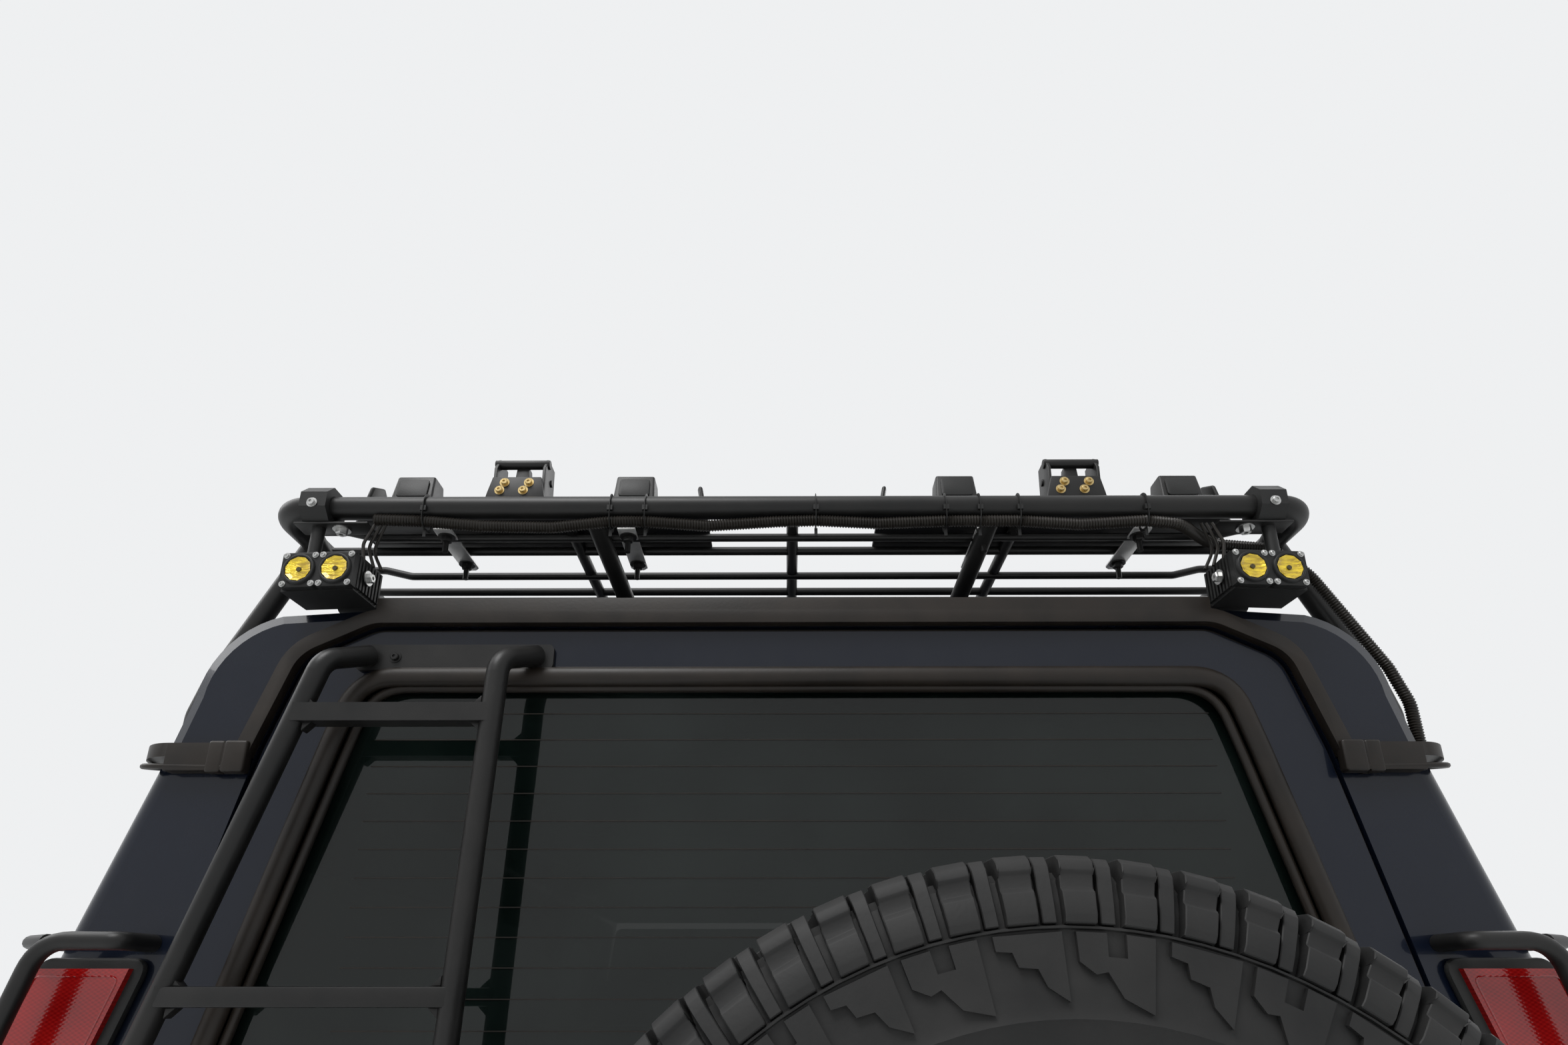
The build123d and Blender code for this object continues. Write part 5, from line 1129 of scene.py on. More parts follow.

# %% [markdown]
# The wires of the work lamps run in a loom, which hangs in shallow bows between its ties and then
# runs down the right leg. A simulated cord would find its own bows, but this cover is stiff and
# its places are known. So the route is a list of given points, with rounded corners.

# %% Loom route
leg_x, leg_y = 0.789, rack_y - 0.062
under_bar = [
    (0.540, 0.020), (0.475, 0.0225), (0.400, 0.030), (0.310, 0.032), (0.235, 0.0235), (0.190, 0.0235),
    (0.110, 0.030), (0.020, 0.024), (-0.030, 0.0225), (-0.110, 0.027), (-0.197, 0.0235),
    (-0.292, 0.0235), (-0.370, 0.029), (-0.455, 0.0235),
]
route = [(x, rack_y + 0.006, rack_z - drop) for x, drop in under_bar] + [
    (-0.500, rack_y + 0.006 - 0.004, rack_z - 0.026), (-0.560, rack_y - 0.044, rack_z - 0.030),
    (-0.640, rack_y - 0.046, rack_z - 0.036), (-0.694, rack_y - 0.058, rack_z - 0.070),
    (-0.772, leg_y, 1.905), (-leg_x, leg_y, 1.856), (-leg_x, leg_y, 1.7905),
]
smooth_route = rounded(route, 0.05, False, 8)
lengths = [0.0]
for a, b in zip(smooth_route, smooth_route[1:]):
    lengths.append(lengths[-1] + (b - a).length)
loom_length = lengths[-1]


def along_route(distance):
    """The point of the loom's route at a distance from its start."""
    distance = min(max(distance, 0), loom_length)
    for i in range(1, len(lengths)):
        if distance <= lengths[i] or i == len(lengths) - 1:
            share = (distance - lengths[i - 1]) / max(lengths[i] - lengths[i - 1], 1e-9)
            return smooth_route[i - 1].lerp(smooth_route[i], min(share, 1))


print("loom", round(loom_length, 3), "m long")

# %% [markdown]
# The loom's cover is a hose of close ridges. A bump would leave its edge smooth, and the notched
# edge is what tells a hose from a cable. A ring is placed about every two millimetres, and every
# other ring is smaller, so the sweep itself makes the ridges.

# %% Corrugated loom
rings = int(loom_length / 0.0018)
ridge_r, groove_of_loom_r, loom_sides = 0.0078, 0.0062, 14
loom = bmesh.new()
previous = None
for i in range(rings + 1):
    at = along_route(i * loom_length / rings)
    ahead = along_route((i + 1) * loom_length / rings) - along_route((i - 1) * loom_length / rings)
    side, up = across_path(ahead.normalized(), REARWARD)
    radius = ridge_r if i % 2 else groove_of_loom_r
    ring = []
    for s in range(loom_sides):
        a = 2 * math.pi * s / loom_sides
        ring.append(loom.verts.new(at + (side * math.cos(a) + up * math.sin(a)) * radius))
    if previous:
        for s in range(loom_sides):
            t = (s + 1) % loom_sides
            loom.faces.new((previous[s], ring[s], ring[t], previous[t]))
    else:
        loom.faces.new(ring[::-1])
    previous = ring
loom.faces.new(previous)
thing = finish(loom, "corrugated_loom", loom_skin, "root", smooth=20)
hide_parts("lamp_loom")
print("loom of", rings, "rings")

# %% [markdown]
# ## Lamp pods
# Each pod pair has round yellow lenses in black square bezels, with four screws to each bezel. It
# could be built where it hangs, but the pods are turned a little, and numbers are hard to read at
# an angle. So the pair is built at the origin, facing back, and then carried to its place on the
# bar.

# %% Pod faces
pod_x, pod_turn, pod_gap = 0.592, math.radians(4), 0.0235
pod_front, pod_z = rack_y + 0.024, rack_z - 0.100
bezel_half, bezel_half_z, bezel_t = 0.0228, 0.0240, 0.014
ring_profile = [(0.0, 0.0162), (0.0035, 0.0172), (0.0035, 0.0200), (0.0, 0.0212)]
dish_profile = [(0.0030, 0.0166), (0.0008, 0.0120), (0.0003, 0.0050), (0.0003, 0.0030)]
chip_profile = [(0.0003, 0.0034), (0.0018, 0.0030), (0.0018, 0)]


def pod_pair():
    """Bezels, reflectors, chips and screws of one pair, facing back from the origin."""
    bezels, dishes, chips, screws = (bmesh.new() for _ in range(4))
    for over in (-1, 1):
        cx = over * pod_gap
        square = upright(rectangle(bezel_half, bezel_half_z), 0, centre=(cx, 0))
        plate(bezels, rounded(square, 0.0055, True, 4), (0, -1, 0), bezel_t)
        turned(bezels, ring_profile, (cx, 0, 0), REARWARD, 32)
        turned(dishes, dish_profile, (cx, 0, 0), REARWARD, 10)
        turned(chips, chip_profile, (cx, 0, 0), REARWARD, 12)
        for sx in (-1, 1):
            for sz in (-1, 1):
                bolt(screws, (cx + sx * 0.0185, 0.0002, sz * 0.0195), REARWARD, 0.0055, False)
    return bezels, dishes, chips, screws


# %% [markdown]
# A clamp holds each pod under the bar: a bracket plate, a pinch bolt through the clamp and one
# below it. Three leads run from the pod up to the loom. One thick cord could stand for the leads,
# but light shows between them, so each is a thin tube with its own bow.


# %% Clamps and leads
clamp_x = 0.614


def clamp_and_leads(hand, side):
    """Bolts, bracket plate and leads of the pod on one side."""
    pinch, tab, leads = bmesh.new(), bmesh.new(), bmesh.new()
    bolt(pinch, (hand * clamp_x, rack_y + 0.0252, rack_z - 0.006), REARWARD, 0.009, False)
    bolt(pinch, (hand * (clamp_x - 0.030), rack_y, rack_z - 0.0300), (0, 0, -1), 0.015)
    tab_y, tab_z = (rack_y - 0.016, rack_y + 0.014), (rack_z - 0.0300, rack_z - 0.0270)
    sided_block(tab, hand, (0.545, 0.640), tab_y, tab_z)
    for k, (inset, bow) in enumerate(((0.046, 0.004), (0.054, 0.010), (0.060, 0.014))):
        x, ahead = hand * (pod_x - inset), 0.010 * k
        lead = [
            (x, rack_y + 0.004 - ahead, pod_z + 0.018),
            (x + hand * bow, rack_y + 0.006 - ahead, pod_z + 0.045),
            (x - hand * 0.006, rack_y + 0.004, rack_z - 0.026),
        ]
        tube(leads, rounded(lead, 0.02, False, 6), 0.0042, sides=8)
    finish(pinch, f"clamp_bolts_{side}", steel, "root")
    finish(tab, f"pod_bracket_{side}", tube_coat, "root", 0.001)
    finish(leads, f"pod_leads_{side}", loom_skin, "root")


# %% [markdown]
# Behind the lenses the housing has eight cooling fins on its inner side, and a pivot bolt. The
# fins could be cut out of the housing with booleans, but thin plates that stand on it look the
# same and can't fail. The line tree copies one fin, and then the whole pod is turned and moved
# together.

# %% Pods in place
fin_x, fin_step, fin_count = 0.0475, 0.0070, 8
for hand, side in HANDS:
    bezels, dishes, chips, screws = pod_pair()
    fins = bmesh.new()
    block(fins, (-hand * fin_x, -0.064, -0.021), (-hand * fin_x + hand * 0.003, -0.0605, 0.021))
    fins = apply_tree(fins, in_line, plastic, Count=fin_count, Step=(0, fin_step, 0))
    bolt(screws, (-hand * 0.0490, -0.030, 0), (-hand, 0, 0), 0.013)
    carried = Matrix.Translation((hand * pod_x, pod_front, pod_z))
    spot = carried @ Matrix.Rotation(-hand * pod_turn, 4, "Z")
    for mesh in (bezels, dishes, chips, screws, fins):
        place(mesh, spot)
    finish(bezels, f"pod_bezels_{side}", plastic, "root", 0.0008)
    finish(dishes, f"pod_reflectors_{side}", amber, "root", smooth=5)
    finish(chips, f"pod_chips_{side}", led, "root")
    finish(screws, f"pod_screws_{side}", steel, "root")
    finish(fins, f"pod_fins_{side}", plastic, "root")
    clamp_and_leads(hand, side)
print("pods dressed")

# %% [markdown]
# ## Case mounts
# Two flat plates at the back of the rack carry a case. They have a scalloped front edge and
# turned-up ends. The scallops could be cut with a row of round cutters, but a cosine along the
# edge draws them in one outline. The plates replace the CAD mounts.

# %% Case plates
mount_low, mount_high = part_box("case_mounts")
mount_y, mount_z = mount_high[1] - 0.004, mount_low[2]
seat_z = mount_z + 0.003
case_plates = ((0.594, 0.114), (-0.114, -0.594))
wave_steps, wave_depth, plate_depth = 40, 0.008, 0.088
flats, brackets = bmesh.new(), bmesh.new()
for left, right in case_plates:
    outline = []
    for k in range(wave_steps + 1):
        x = right + (left - right) * k / wave_steps
        outline.append((x, mount_y - plate_depth + wave_depth * math.cos(k * math.pi / 5), mount_z))
    outline += [
        (left, mount_y - 0.012, mount_z), (left - 0.012, mount_y, mount_z),
        (right + 0.012, mount_y, mount_z), (right, mount_y - 0.012, mount_z),
    ]
    plate(flats, outline, UPWARD, 0.004)
    for x, way in ((left, -1), (right, 1)):
        turn_up = [
            (x, mount_y - 0.062, seat_z), (x, mount_y - 0.010, seat_z),
            (x + way * 0.010, mount_y - 0.016, mount_z + 0.060),
            (x + way * 0.014, mount_y - 0.040, mount_z + 0.072),
            (x + way * 0.012, mount_y - 0.060, mount_z + 0.060),
        ]
        plate(brackets, turn_up, (way, 0, 0), 0.006)
thing = finish(flats, "case_plates", tube_coat, "root", 0.001)
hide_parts("case_mounts")
print("case plates", round(mount_y, 4), round(mount_z, 4))

# %% [markdown]
# A corner bracket is folded plate that narrows upwards, with a blank raised pad on its face. A
# cube with its top face scaled would do. Here that form is a helper, because the tongue of a
# latch needs it as well. The pad is a thin plate that leans with the bracket.


# %% Corner brackets
def frustum(mesh, base, top):
    """A block whose top is a smaller rectangle; each is (x0, x1, y0, y1, z)."""
    rings = []
    for x0, x1, y0, y1, z in (base, top):
        rings.append([mesh.verts.new(p) for p in ((x0, y0, z), (x1, y0, z), (x1, y1, z), (x0, y1, z))])
    walled(mesh, *rings)


pads = bmesh.new()
bracket_top = mount_high[2] - 0.028
pad_edge = ((-0.021, 0.036), (0.021, 0.036), (0.0205, 0.066), (-0.0205, 0.066))
for x in (0.519, 0.216, -0.224, -0.531):
    frustum(
        brackets, (x - 0.030, x + 0.030, mount_y - 0.050, mount_y + 0.003, seat_z),
        (x - 0.026, x + 0.026, mount_y - 0.042, mount_y - 0.012, bracket_top),
    )
    panel = []
    for dx, dz in pad_edge:
        lean = 0.015 * dz / (bracket_top - mount_z)
        panel.append((x + dx, mount_y + 0.0030 - lean + 0.0008, mount_z + dz))
    plate(pads, rounded(panel, 0.005, True, 4), (0, 1, 0.2), 0.0022)
finish(brackets, "corner_brackets", tube_coat, "root", 0.003, segments=3)
finish(pads, "bracket_pads", plastic, "root", 0.0008)
print("corner brackets up to", round(bracket_top, 4))

# %% [markdown]
# A latch stands between two brackets. It has two ears, a face with four brass screws, a flared
# skirt, three cross pins and a tapering tongue between the ears. One solid block could be carved
# to that outline, but light shows between the parts, so each is a plate or a pin of its own.

# %% Latches
ears = [(0.004, 0.038), (0.002, 0.078), (0.014, 0.0985), (0.044, 0.0985), (0.052, 0.004), (0.006, 0.004)]
face = [(-0.043, 0.002), (0.047, 0.002), (0.040, 0.036), (0.034, 0.060), (-0.032, 0.060), (-0.037, 0.036)]
skirt = [(-0.078, 0.0), (0.080, 0.0), (0.060, 0.006), (0.046, 0.016), (-0.042, 0.016), (-0.056, 0.006)]
pins = ((0.014, 0.090, 0.0065), (0.030, 0.070, 0.005), (0.036, 0.030, 0.005))
latches, brass_screws = bmesh.new(), bmesh.new()
for x in (0.374, -0.386):
    for way in (-1, 1):
        ear = [(x + way * 0.031, mount_y - back, seat_z + up) for back, up in ears]
        plate(latches, ear, (way, 0, 0), 0.0045)
    plate(latches, upright(face, mount_y - 0.001, centre=(x, seat_z)), REARWARD, 0.0045)
    plate(latches, upright(skirt, mount_y - 0.012, centre=(x, seat_z)), REARWARD, 0.005)
    for back, up, r in pins:
        pin = [(-0.038, 0), (-0.038, r), (0.038, r), (0.038, 0)]
        turned(latches, pin, (x, mount_y - back, seat_z + up), ACROSS, 16)
    frustum(
        latches, (x - 0.012, x + 0.012, mount_y - 0.040, mount_y - 0.012, seat_z + 0.030),
        (x - 0.008, x + 0.008, mount_y - 0.030, mount_y - 0.014, seat_z + 0.088),
    )
    for dx, dz in ((-0.016, 0.051), (0.017, 0.051), (-0.009, 0.039), (0.023, 0.039)):
        bolt(brass_screws, (x + dx, mount_y + 0.0030, seat_z + dz), REARWARD, 0.0090, False)
finish(latches, "case_latches", tube_coat, "root", 0.001)
finish(brass_screws, "latch_screws", brass, "root")
print("latches in place")

# %% [markdown]
# Bright straps hang under the plates and clamp them to the slats, with two bolts and long nuts
# through each. Plain blocks would do for most of a strap, but its front end is cut to a blunt
# point, so it is a plate with six corners.

# %% Straps
strap_half, strap_t, strap_z = 0.012, 0.003, rack_z - 0.0165
strap_back, strap_front = rack_y - 0.026, rack_y - 0.142
nut_profile = [(0, 0), (0, 0.0038), (0.024, 0.0038), (0.024, 0)]
straps, strap_bolts = bmesh.new(), bmesh.new()
for x in (0.466, 0.221, -0.256, -0.465):
    strap = [
        (x - strap_half, strap_back), (x + strap_half, strap_back), (x + strap_half, strap_front + 0.006),
        (x + 0.006, strap_front), (x - 0.006, strap_front), (x - strap_half, strap_front + 0.006),
    ]
    plate(straps, [(px, py, strap_z) for px, py in strap], UPWARD, strap_t)
    for y in (strap_back - 0.018, strap_front + 0.020):
        bolt(strap_bolts, (x, y, strap_z), (0, 0, -1), 0.015)
        turned(strap_bolts, nut_profile, (x, y, strap_z), (0, 0, -1), 12)
finish(straps, "mount_straps", alloy, "root", 0.0006)
finish(strap_bolts, "strap_bolts", tube_coat, "root")
print("straps bolted")

# %% [markdown]
# ## Trim
# The gutter rubber and other moulded parts have soft edges, which catch light. They could be
# drawn anew, but the CAD's form is right and only its edges are sharp. So a copy of each is
# merged, bevelled and shown in its place. A thin lip runs along the drip rail, and a collar
# covers its joint at each rear corner.

# %% Rounded trim
softened("gutter_trim", "gutter_moulding", 0.006, segments=3)
drip_y, rail_x, rail_z = tail_y + 0.0150, 0.7955, 1.775
for hand, side in HANDS:
    lip, collar = bmesh.new(), bmesh.new()
    line = [
        (hand * 0.662, drip_y, 1.760), (hand * 0.792, drip_y, 1.762),
        (hand * rail_x, tail_y - 0.05, rail_z), (hand * rail_x, -0.60, rail_z),
    ]
    tube(lip, rounded(line, 0.034, False, 8), 0.0070, sides=8, facing=UPWARD)
    finish(lip, f"drip_lip_{side}", rubber, "root", smooth=60)
    for xs, proud in (((0.656, 0.684), 0.0205), ((0.684, 0.704), 0.0190)):
        sided_block(collar, hand, xs, (tail_y + 0.004, tail_y + proud), (1.7535, 1.7930))
    finish(collar, f"drip_collar_{side}", rubber, "root", 0.0035, segments=3)
for _, side in HANDS:
    softened(f"mirror_{side}", f"mirror_housing_{side}", 0.008, segments=3)
softened("front_bumper", "front_bumper_shape", 0.004)
softened("rear_bumper", "rear_bumper_shape", 0.004)
softened("grille", "grille_shape", 0.0015)
print("trim softened")

# %% [markdown]
# ## Windows, doors and lamps
# Every side window sits in a black rubber section. Each outline could be typed in again, but it
# is there already, as the outer face of the pane. That face is looked up in the CAD mesh and its
# outline is the rubber's path, so the rubber follows the glass wherever the glass goes.


# %% Window rubbers
def outer_faces(node):
    """The outward face of each pane in a node, as (points, normal)."""
    mesh = bmesh.new()
    mesh.from_mesh(nodes[node].data)
    bmesh.ops.remove_doubles(mesh, verts=mesh.verts, dist=1e-5)
    bmesh.ops.dissolve_limit(mesh, angle_limit=math.radians(2), verts=mesh.verts, edges=mesh.edges)
    bmesh.ops.recalc_face_normals(mesh, faces=mesh.faces)
    biggest = max(face.calc_area() for face in mesh.faces)
    inside_car = Vector((0, 0, 1.2))
    panes = []
    for face in mesh.faces:
        outward = face.normal.dot(face.calc_center_median() - inside_car) > 0
        if outward and face.calc_area() > 0.35 * biggest:
            panes.append(([v.co.copy() for v in face.verts], face.normal.copy()))
    mesh.free()
    return panes


window_bodies = {
    "glass_front_left": "door_front_left", "glass_front_right": "door_front_right",
    "glass_rear_left": "door_rear_left", "glass_rear_right": "door_rear_right", "body_glass": "root",
}
for node, body in window_bodies.items():
    seal = bmesh.new()
    for points, normal in outer_faces(node):
        pane_middle = sum(points, Vector()) / len(points)
        inset = [p + (pane_middle - p).normalized() * 0.004 + normal * 0.002 for p in points]
        tube(seal, rounded(inset, 0.028, True, 5), 0.012, 0.020, closed=True, sides=10, facing=normal)
    finish(seal, f"{node}_rubber", rubber, body, smooth=60)
print(len(window_bodies), "window rubbers made")

# %% [markdown]
# Handles are flush pulls in black plastic: a shallow frame with a bar across it and a lock below.
# A rubbing strip runs along each door at one height. Plain widths would do for their places if
# the body side were upright, but it leans, so points are given by how far they stand off it. Both
# ride the door that they sit on.


# %% Handles and rubbing strips
def on_side(hand, y, z, proud):
    """A point standing off the body side."""
    return Vector((hand * (skin_x(z) + proud), y, z))


handle_z, strip_z = 1.150, 0.965
bar_line = ((-0.068, 0.004, 0.006), (-0.050, 0.006, 0.014), (0.050, 0.006, 0.014), (0.068, 0.004, 0.006))
for hand, side in HANDS:
    outward = Vector((hand, 0, 0))
    for end in ("front", "rear"):
        body = f"door_{end}_{side}"
        low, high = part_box(body)
        y = high[1] - 0.120
        handle, strip = bmesh.new(), bmesh.new()
        cup = [on_side(hand, y + a, handle_z + b, -0.001) for a, b in rectangle(0.085, 0.026)]
        plate(handle, rounded(cup, 0.016, True, 4), outward, 0.006)
        bar = [on_side(hand, y + dy, handle_z + dz, proud) for dy, dz, proud in bar_line]
        tube(handle, rounded(bar, 0.012, False, 4), 0.020, 0.010, sides=10, facing=outward)
        lock = on_side(hand, y + 0.058, handle_z - 0.012, 0.004)
        turned(handle, [(0, 0.009), (0.008, 0.009), (0.009, 0)], lock, outward, 16)
        finish(handle, f"handle_{end}_{side}", plastic, body, 0.001)
        line = [on_side(hand, place_y, strip_z, 0.0005) for place_y in (low[1] + 0.012, high[1] - 0.012)]
        tube(strip, line, 0.046, 0.020, facing=outward, square=True)
        finish(strip, f"rubbing_strip_{end}_{side}", plastic, body, smooth=50)
print("door details made")

# %% [markdown]
# A black plastic lip edges each wheel arch. A ring turned round the hub would be flat, and the
# body side isn't quite. So the lip is a square-edged tube that follows the arch's arc on the body
# side.

# %% Arch lips
arch_r, arch_from, arch_sweep, arch_steps = 0.480, 24, 132, 32
for hand, side in HANDS:
    for end in ("front", "rear"):
        hub = middle(f"tyre_{end}_left")
        arc = []
        for step in range(arch_steps + 1):
            a = math.radians(arch_from + arch_sweep * step / arch_steps)
            arc.append(on_side(hand, hub.y + arch_r * math.cos(a), hub.z + arch_r * math.sin(a), 0.001))
        lip = bmesh.new()
        tube(lip, arc, 0.030, 0.016, facing=(hand, 0, 0), square=True)
        finish(lip, f"arch_lip_{end}_{side}", plastic, "root", smooth=50)
print("arches lipped")

# %% [markdown]
# The mirrors have a real glass face, set in from the housing's rim, on their rear side. A bright
# finish on the housing's own face would reach to its edges, so the glass is a thin plate with
# round corners. The box of the housing gives its place, and the arm takes more room on the inner
# side.

# %% Mirror glass
rim_w, arm_w = 0.018, 0.052
for hand, side in HANDS:
    (x0, y0, z0), (x1, y1, z1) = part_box(f"mirror_{side}")
    inner, outer = (x0 + arm_w, x1 - rim_w) if hand > 0 else (x0 + rim_w, x1 - arm_w)
    low, high = z0 + rim_w, z1 - rim_w
    pane = upright([(inner, low), (outer, low), (outer, high), (inner, high)], y1 + 0.0005)
    mirror = bmesh.new()
    plate(mirror, rounded(pane, 0.020, True, 6), REARWARD, 0.002)
    finish(mirror, f"mirror_glass_{side}", mirror_face, f"door_front_{side}", 0.0005)
print("mirror glass set in")

# %% [markdown]
# A headlamp is a bright turned bowl behind the CAD lens, with a black rim round lens and turn
# lamp. A flat bright disc would look blind from the side, so the bowl has its hollow. The rim is
# a closed tube, and the turn lamp is a rounded orange plate.

# %% Headlamps
(_, lamp_y, lamp_low), (_, _, lamp_high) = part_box("headlamps")
bowl_profile = [
    (-0.001, 0.060), (0.010, 0.058), (0.003, 0.030), (0.001, 0.014), (0.007, 0.010), (0.008, 0)
]


def lamp_frame(inner, outer, margin, y, hand):
    """A rectangle in the headlamp's face, held in from its top and bottom."""
    low, high = lamp_low + margin, lamp_high - margin
    return upright([(inner, low), (outer, low), (outer, high), (inner, high)], y, hand)


for hand, side in HANDS:
    bowl, rim, signal = bmesh.new(), bmesh.new(), bmesh.new()
    turned(bowl, bowl_profile, (hand * 0.560, lamp_y, (lamp_low + lamp_high) / 2), (0, -1, 0), 40)
    edge = rounded(lamp_frame(0.430, 0.756, 0.004, lamp_y, hand), 0.012, True, 5)
    tube(rim, edge, 0.014, 0.018, closed=True, sides=10, facing=(0, -1, 0))
    square = lamp_frame(0.672, 0.748, 0.012, lamp_y + 0.001, hand)
    plate(signal, rounded(square, 0.008, True, 4), (0, -1, 0), 0.006)
    finish(bowl, f"headlamp_bowl_{side}", alloy, "root", smooth=50)
    finish(rim, f"headlamp_rim_{side}", plastic, "root", smooth=60)
    finish(signal, f"turn_lamp_{side}", turn_lens, "root", 0.002)
print("headlamps made")

# %% [markdown]
# Two wipers lie parked at the foot of the windscreen: a pivot, a thin arm and a rubber blade
# each. Plain heights and widths could place them on an upright pane, but this one leans. So they
# are placed by shares of the glass's lower edge, and stand off it along its normal.

# %% Wipers
points, normal = max(outer_faces("body_glass"), key=lambda pane: -pane[1].y)
low_left, low_right = sorted(sorted(points, key=lambda p: p.z)[:2], key=lambda p: -p.x)
up = normal.cross((low_right - low_left).normalized())
up = up if up.z > 0 else -up
wipers = bmesh.new()
for start, end in ((0.10, 0.52), (0.52, 0.94)):
    base = low_left.lerp(low_right, start) + normal * 0.014 + up * 0.006
    tip = low_left.lerp(low_right, end) + normal * 0.012 + up * 0.075
    turned(wipers, [(0, 0), (0, 0.011), (0.010, 0.009), (0.012, 0)], base - normal * 0.008, normal, 14)
    tube(wipers, [base, base.lerp(tip, 0.5) + normal * 0.004, tip], 0.010, 0.005, sides=8, facing=normal)
    blade_foot = base.lerp(tip, 0.25) + up * 0.022 - normal * 0.004
    blade_end = base.lerp(tip, 1.0) + up * 0.012 - normal * 0.004
    tube(wipers, [blade_foot, blade_end], 0.006, 0.012, sides=6, facing=normal)
    tube(wipers, [tip, blade_end.lerp(blade_foot, 0.35)], 0.006, 0.005, sides=6, facing=normal)
finish(wipers, "wipers", plastic, "root", smooth=50)
print("wipers parked")

# %% [markdown]
# ## Seats
# Each seat is a crowned cushion, a crowned back and a headrest. A cloth simulation would give
# truer folds. Here the forms start as blocks with a sunk seam line and are rounded by
# subdivision, which is quick and gives the soft corners of foam under a tight cover.


# %% Padding
def cushion(low, high, crown):
    """A soft block between two corners; the face that carries weight is crowned."""
    (x0, y0, z0), (x1, y1, z1) = low, high
    seam_from, seam_to, seam_depth, edge_squeeze = 0.55, 0.8, 0.35, 0.94
    part = bmesh.new()
    bmesh.ops.create_grid(part, x_segments=8, y_segments=8, size=0.5)
    top = part.faces[:]
    bmesh.ops.translate(part, verts=part.verts, vec=(0, 0, 0.5))
    made = bmesh.ops.extrude_face_region(part, geom=top)
    moved = [g for g in made["geom"] if isinstance(g, bmesh.types.BMVert)]
    bmesh.ops.translate(part, verts=moved, vec=(0, 0, -1))
    for v in part.verts:
        u, w = v.co.x * 2, v.co.y * 2
        reach = max(abs(u), abs(w))
        if v.co.z > 0:
            seam = seam_depth if seam_from < reach < seam_to else 1.0
            swell = (1 - u ** 4) * (1 - w ** 4)
            v.co.z += crown * swell * seam
        squeeze = edge_squeeze if reach > 0.9 else 1.0
        x = (x0 + x1) / 2 + v.co.x * (x1 - x0) * squeeze
        y = (y0 + y1) / 2 + v.co.y * (y1 - y0) * squeeze
        v.co = Vector((x, y, (z0 + z1) / 2 + v.co.z * (z1 - z0)))
    return part


def leaned(part, x, y, z, degrees):
    """A cushion stood up at a place, leaning back."""
    return place(part, Matrix.Translation((x, y, z)) @ Matrix.Rotation(math.radians(degrees), 4, "X"))


# %% [markdown]
# A seat has one place or three, and each place has its own cushion, back and headrest. The three
# seats could be modelled apart, but they differ only in place, width and height, so one function
# makes them all. The foam ends inside the outline of the CAD seat, and a plain plinth carries it
# on the floor.


# %% Padded seats
def padded_seat(name, x, y, width, top):
    """Cushion, back and headrests of one seat, on a plinth."""
    base, back = bmesh.new(), bmesh.new()
    half = width / 2 - 0.008
    places = 3 if width > 0.8 else 1
    for i in range(places):
        a = x - half + 2 * half * i / places
        b = x - half + 2 * half * (i + 1) / places
        mid = (a + b) / 2
        pour(cushion((a, y + 0.010, 0.955), (b, y + 0.440, 1.045), 0.12), base)
        pour(leaned(cushion((a, 0, 0), (b, top - 1.130, 0.085), 0.16), 0, y + 0.500, 1.035, 80), back)
        headrest = cushion((mid - 0.115, 0, 0), (mid + 0.115, 0.115, 0.075), 0.2)
        pour(leaned(headrest, 0, y + 0.568, top - 0.118, 84), back)
    for part, label in ((base, "cushion"), (back, "back")):
        thing = finish(part, f"{name}_{label}", cloth, "root", smooth=70)
        foam = thing.modifiers.new("foam", "SUBSURF")
        foam.levels = foam.render_levels = 1
        bake_modifiers(thing)
    plinth = bmesh.new()
    block(plinth, (x - half + 0.03, y + 0.045, 0.7305), (x + half - 0.03, y + 0.440, 0.953))
    return finish(plinth, f"{name}_plinth", cabin, "root", 0.012)


seat_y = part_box("seats")[0][1]
for name, x, y, width, top in (
    ("seat_left", 0.390, seat_y, 0.480, 1.600), ("seat_right", -0.390, seat_y, 0.480, 1.600),
    ("rear_bench", 0.0, seat_y + 0.700, 1.160, 1.540),
):
    thing = padded_seat(name, x, y, width, top)
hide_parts("seats")
print("seats padded")

# %% [markdown]
# ## Stage, light and camera
# The car stands on a pale floor. A plane would end in a hard line against the background, however
# large it was. So the floor is a disc that fades out with the distance from its middle. It has no
# edge, and it still takes the car's shadow.

# %% Floor
ground = bmesh.new()
bmesh.ops.create_circle(ground, cap_ends=True, segments=96, radius=24)
floor = add_object("floor", as_data(ground, "floor"))
pale = Surface("pale_floor", (0.84, 0.84, 0.83), roughness=0.9)
reach = (pale.along("X") ** 2 + pale.along("Y") ** 2).root()
pale.vary("Alpha", 1 - reach.spread(4, 13)).bump(pale.noise(40, 2), 0.05, 0.001)
floor.data.materials.append(pale.material)
print("floor laid")

# %% [markdown]
# A soft world lights everything. A sky texture could do that, but its blue and its sun would
# colour the dark paint. This world is brighter above than below, as under an overcast sky. The
# camera, and what paint and glass reflect, see a plain pale grey in its place.

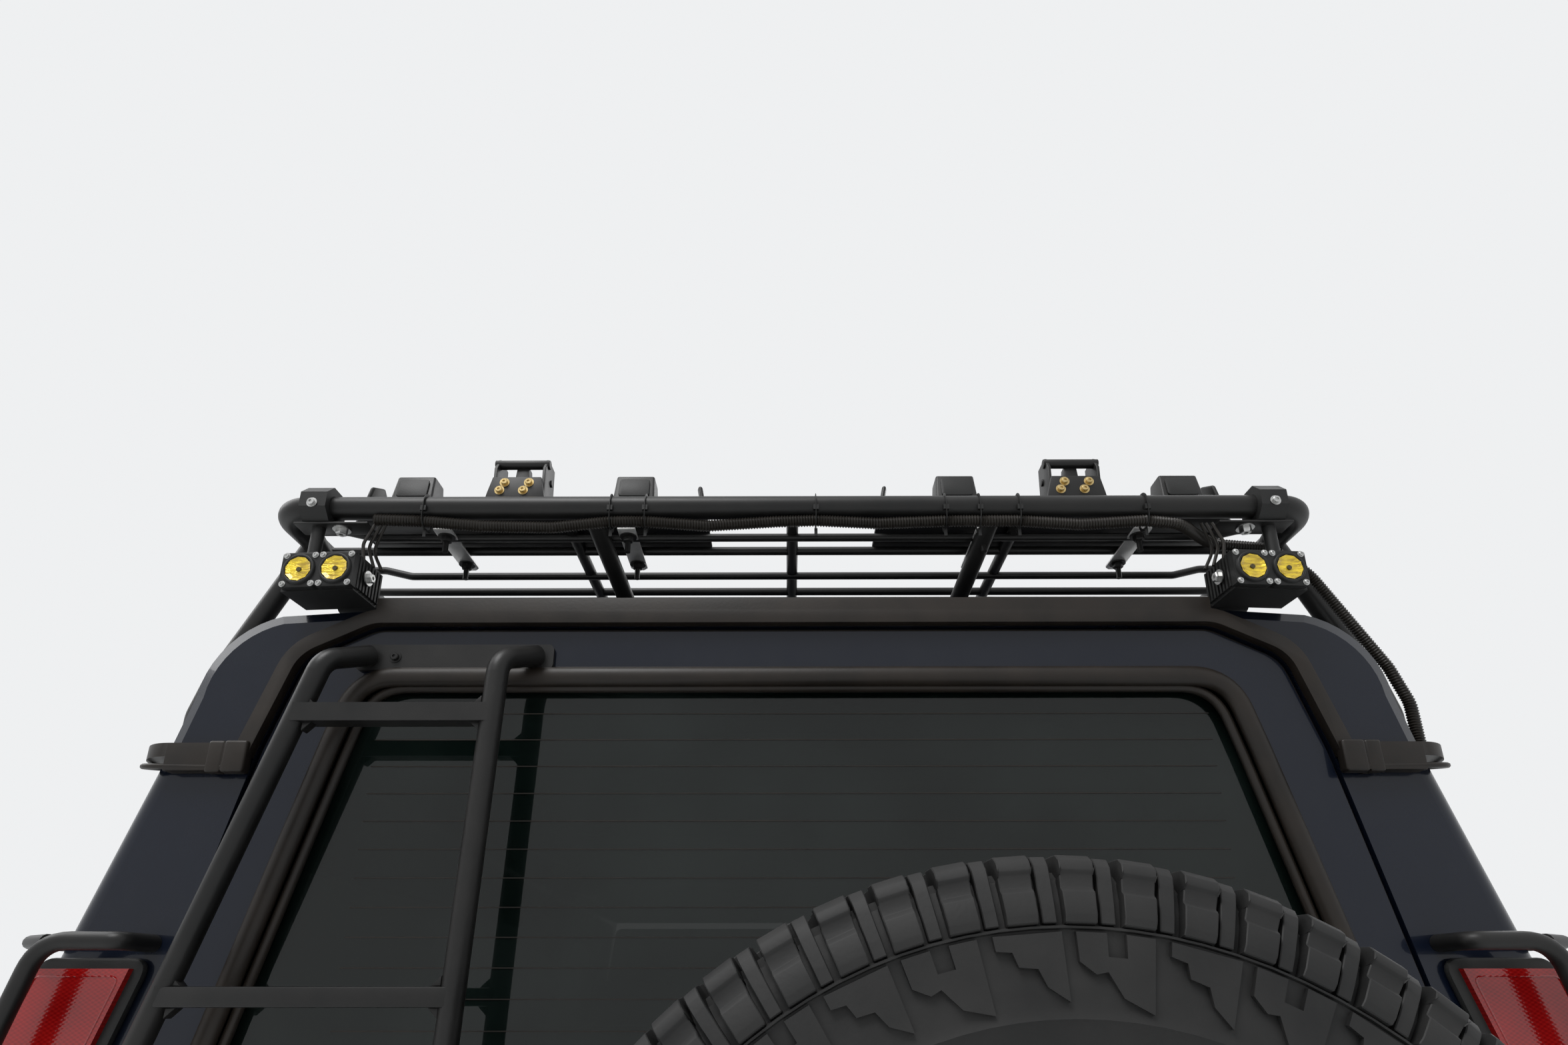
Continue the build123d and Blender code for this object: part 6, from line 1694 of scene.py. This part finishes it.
# %% World
world = bpy.data.worlds.new("overcast")
bpy.context.scene.world = world
world.use_nodes = True
sky = world.node_tree
sky.nodes.clear()
paths = add_node(sky, "ShaderNodeLightPath").outputs
direction = add_node(sky, "ShaderNodeTexCoord").outputs["Generated"]
height = add_node(sky, "ShaderNodeSeparateXYZ", None, {0: direction}).outputs["Z"]
strength = add_node(
    sky, "ShaderNodeMapRange", None,
    {"Value": height, "From Min": -0.2, "From Max": 0.8, "To Min": 0.22, "To Max": 0.85},
).outputs[0]
seen_by = Field(sky, paths["Is Camera Ray"])
for ray in ("Is Glossy Ray", "Is Transmission Ray"):
    seen_by = seen_by.larger(paths[ray])
lit = add_node(sky, "ShaderNodeBackground", None, {"Color": (0.93, 0.97, 1.0, 1), "Strength": strength})
seen = add_node(sky, "ShaderNodeBackground", None, {"Color": (0.86, 0.87, 0.88, 1), "Strength": 1.0})
mix = add_node(sky, "ShaderNodeMixShader", None, {0: seen_by, 1: lit.outputs[0], 2: seen.outputs[0]})
add_node(sky, "ShaderNodeOutputWorld", None, {0: mix.outputs[0]})
print(len(sky.nodes), "nodes in the world")

# %% [markdown]
# Three large soft lamps shape the dark paint: one high behind the car, one to its left and one in
# front on its right. A sun would leave small hard glints. Large lamps leave long soft ones, which
# show how a dark panel curves.


# %% Lamps
def soft_lamp(name, spot, target, size, power):
    """An area lamp that faces a target."""
    data = bpy.data.lights.new(name, "AREA")
    data.size, data.energy = size, power
    lamp = add_object(name, data)
    lamp.location = spot
    lamp.rotation_euler = (Vector(target) - Vector(spot)).to_track_quat("-Z", "Y").to_euler()


soft_lamp("high_rear", (1.8, tail_y + 2.8, 7.2), (0, tail_y, 1.5), 3.0, 270)
soft_lamp("left_side", (5.0, 1.0, 6.0), (0, 0, 1.0), 4.0, 110)
soft_lamp("right_front", (-4.5, -4.0, 6.5), (0, -1, 1.0), 4.0, 130)
print(len(bpy.data.lights), "lamps")

# %% [markdown]
# The camera stands a metre behind the tail door at chest height and looks up at the rack. It
# could be moved by eye until the picture looked right, but then an error in the model would hide
# in the camera. So its lens, place and tilt come from fitting points of the photograph to the
# CAD's own corners.

# %% Camera
camera_pitch, camera_yaw = 18.30, 180.23
lens_data = bpy.data.cameras.new("photo_view")
lens_data.sensor_width, lens_data.lens, lens_data.shift_y = 36, 19.89, 0.1198
lens_data.clip_start = 0.05
camera = add_object("photo_view", lens_data)
camera.location = (0.0072, tail_y + 1.018, 1.4994)
camera.rotation_euler = (math.radians(90 + camera_pitch), 0, math.radians(camera_yaw))
bpy.context.scene.camera = camera
bpy.context.scene.view_settings.view_transform = "Standard"
print("camera at", tuple(round(v, 3) for v in camera.location))
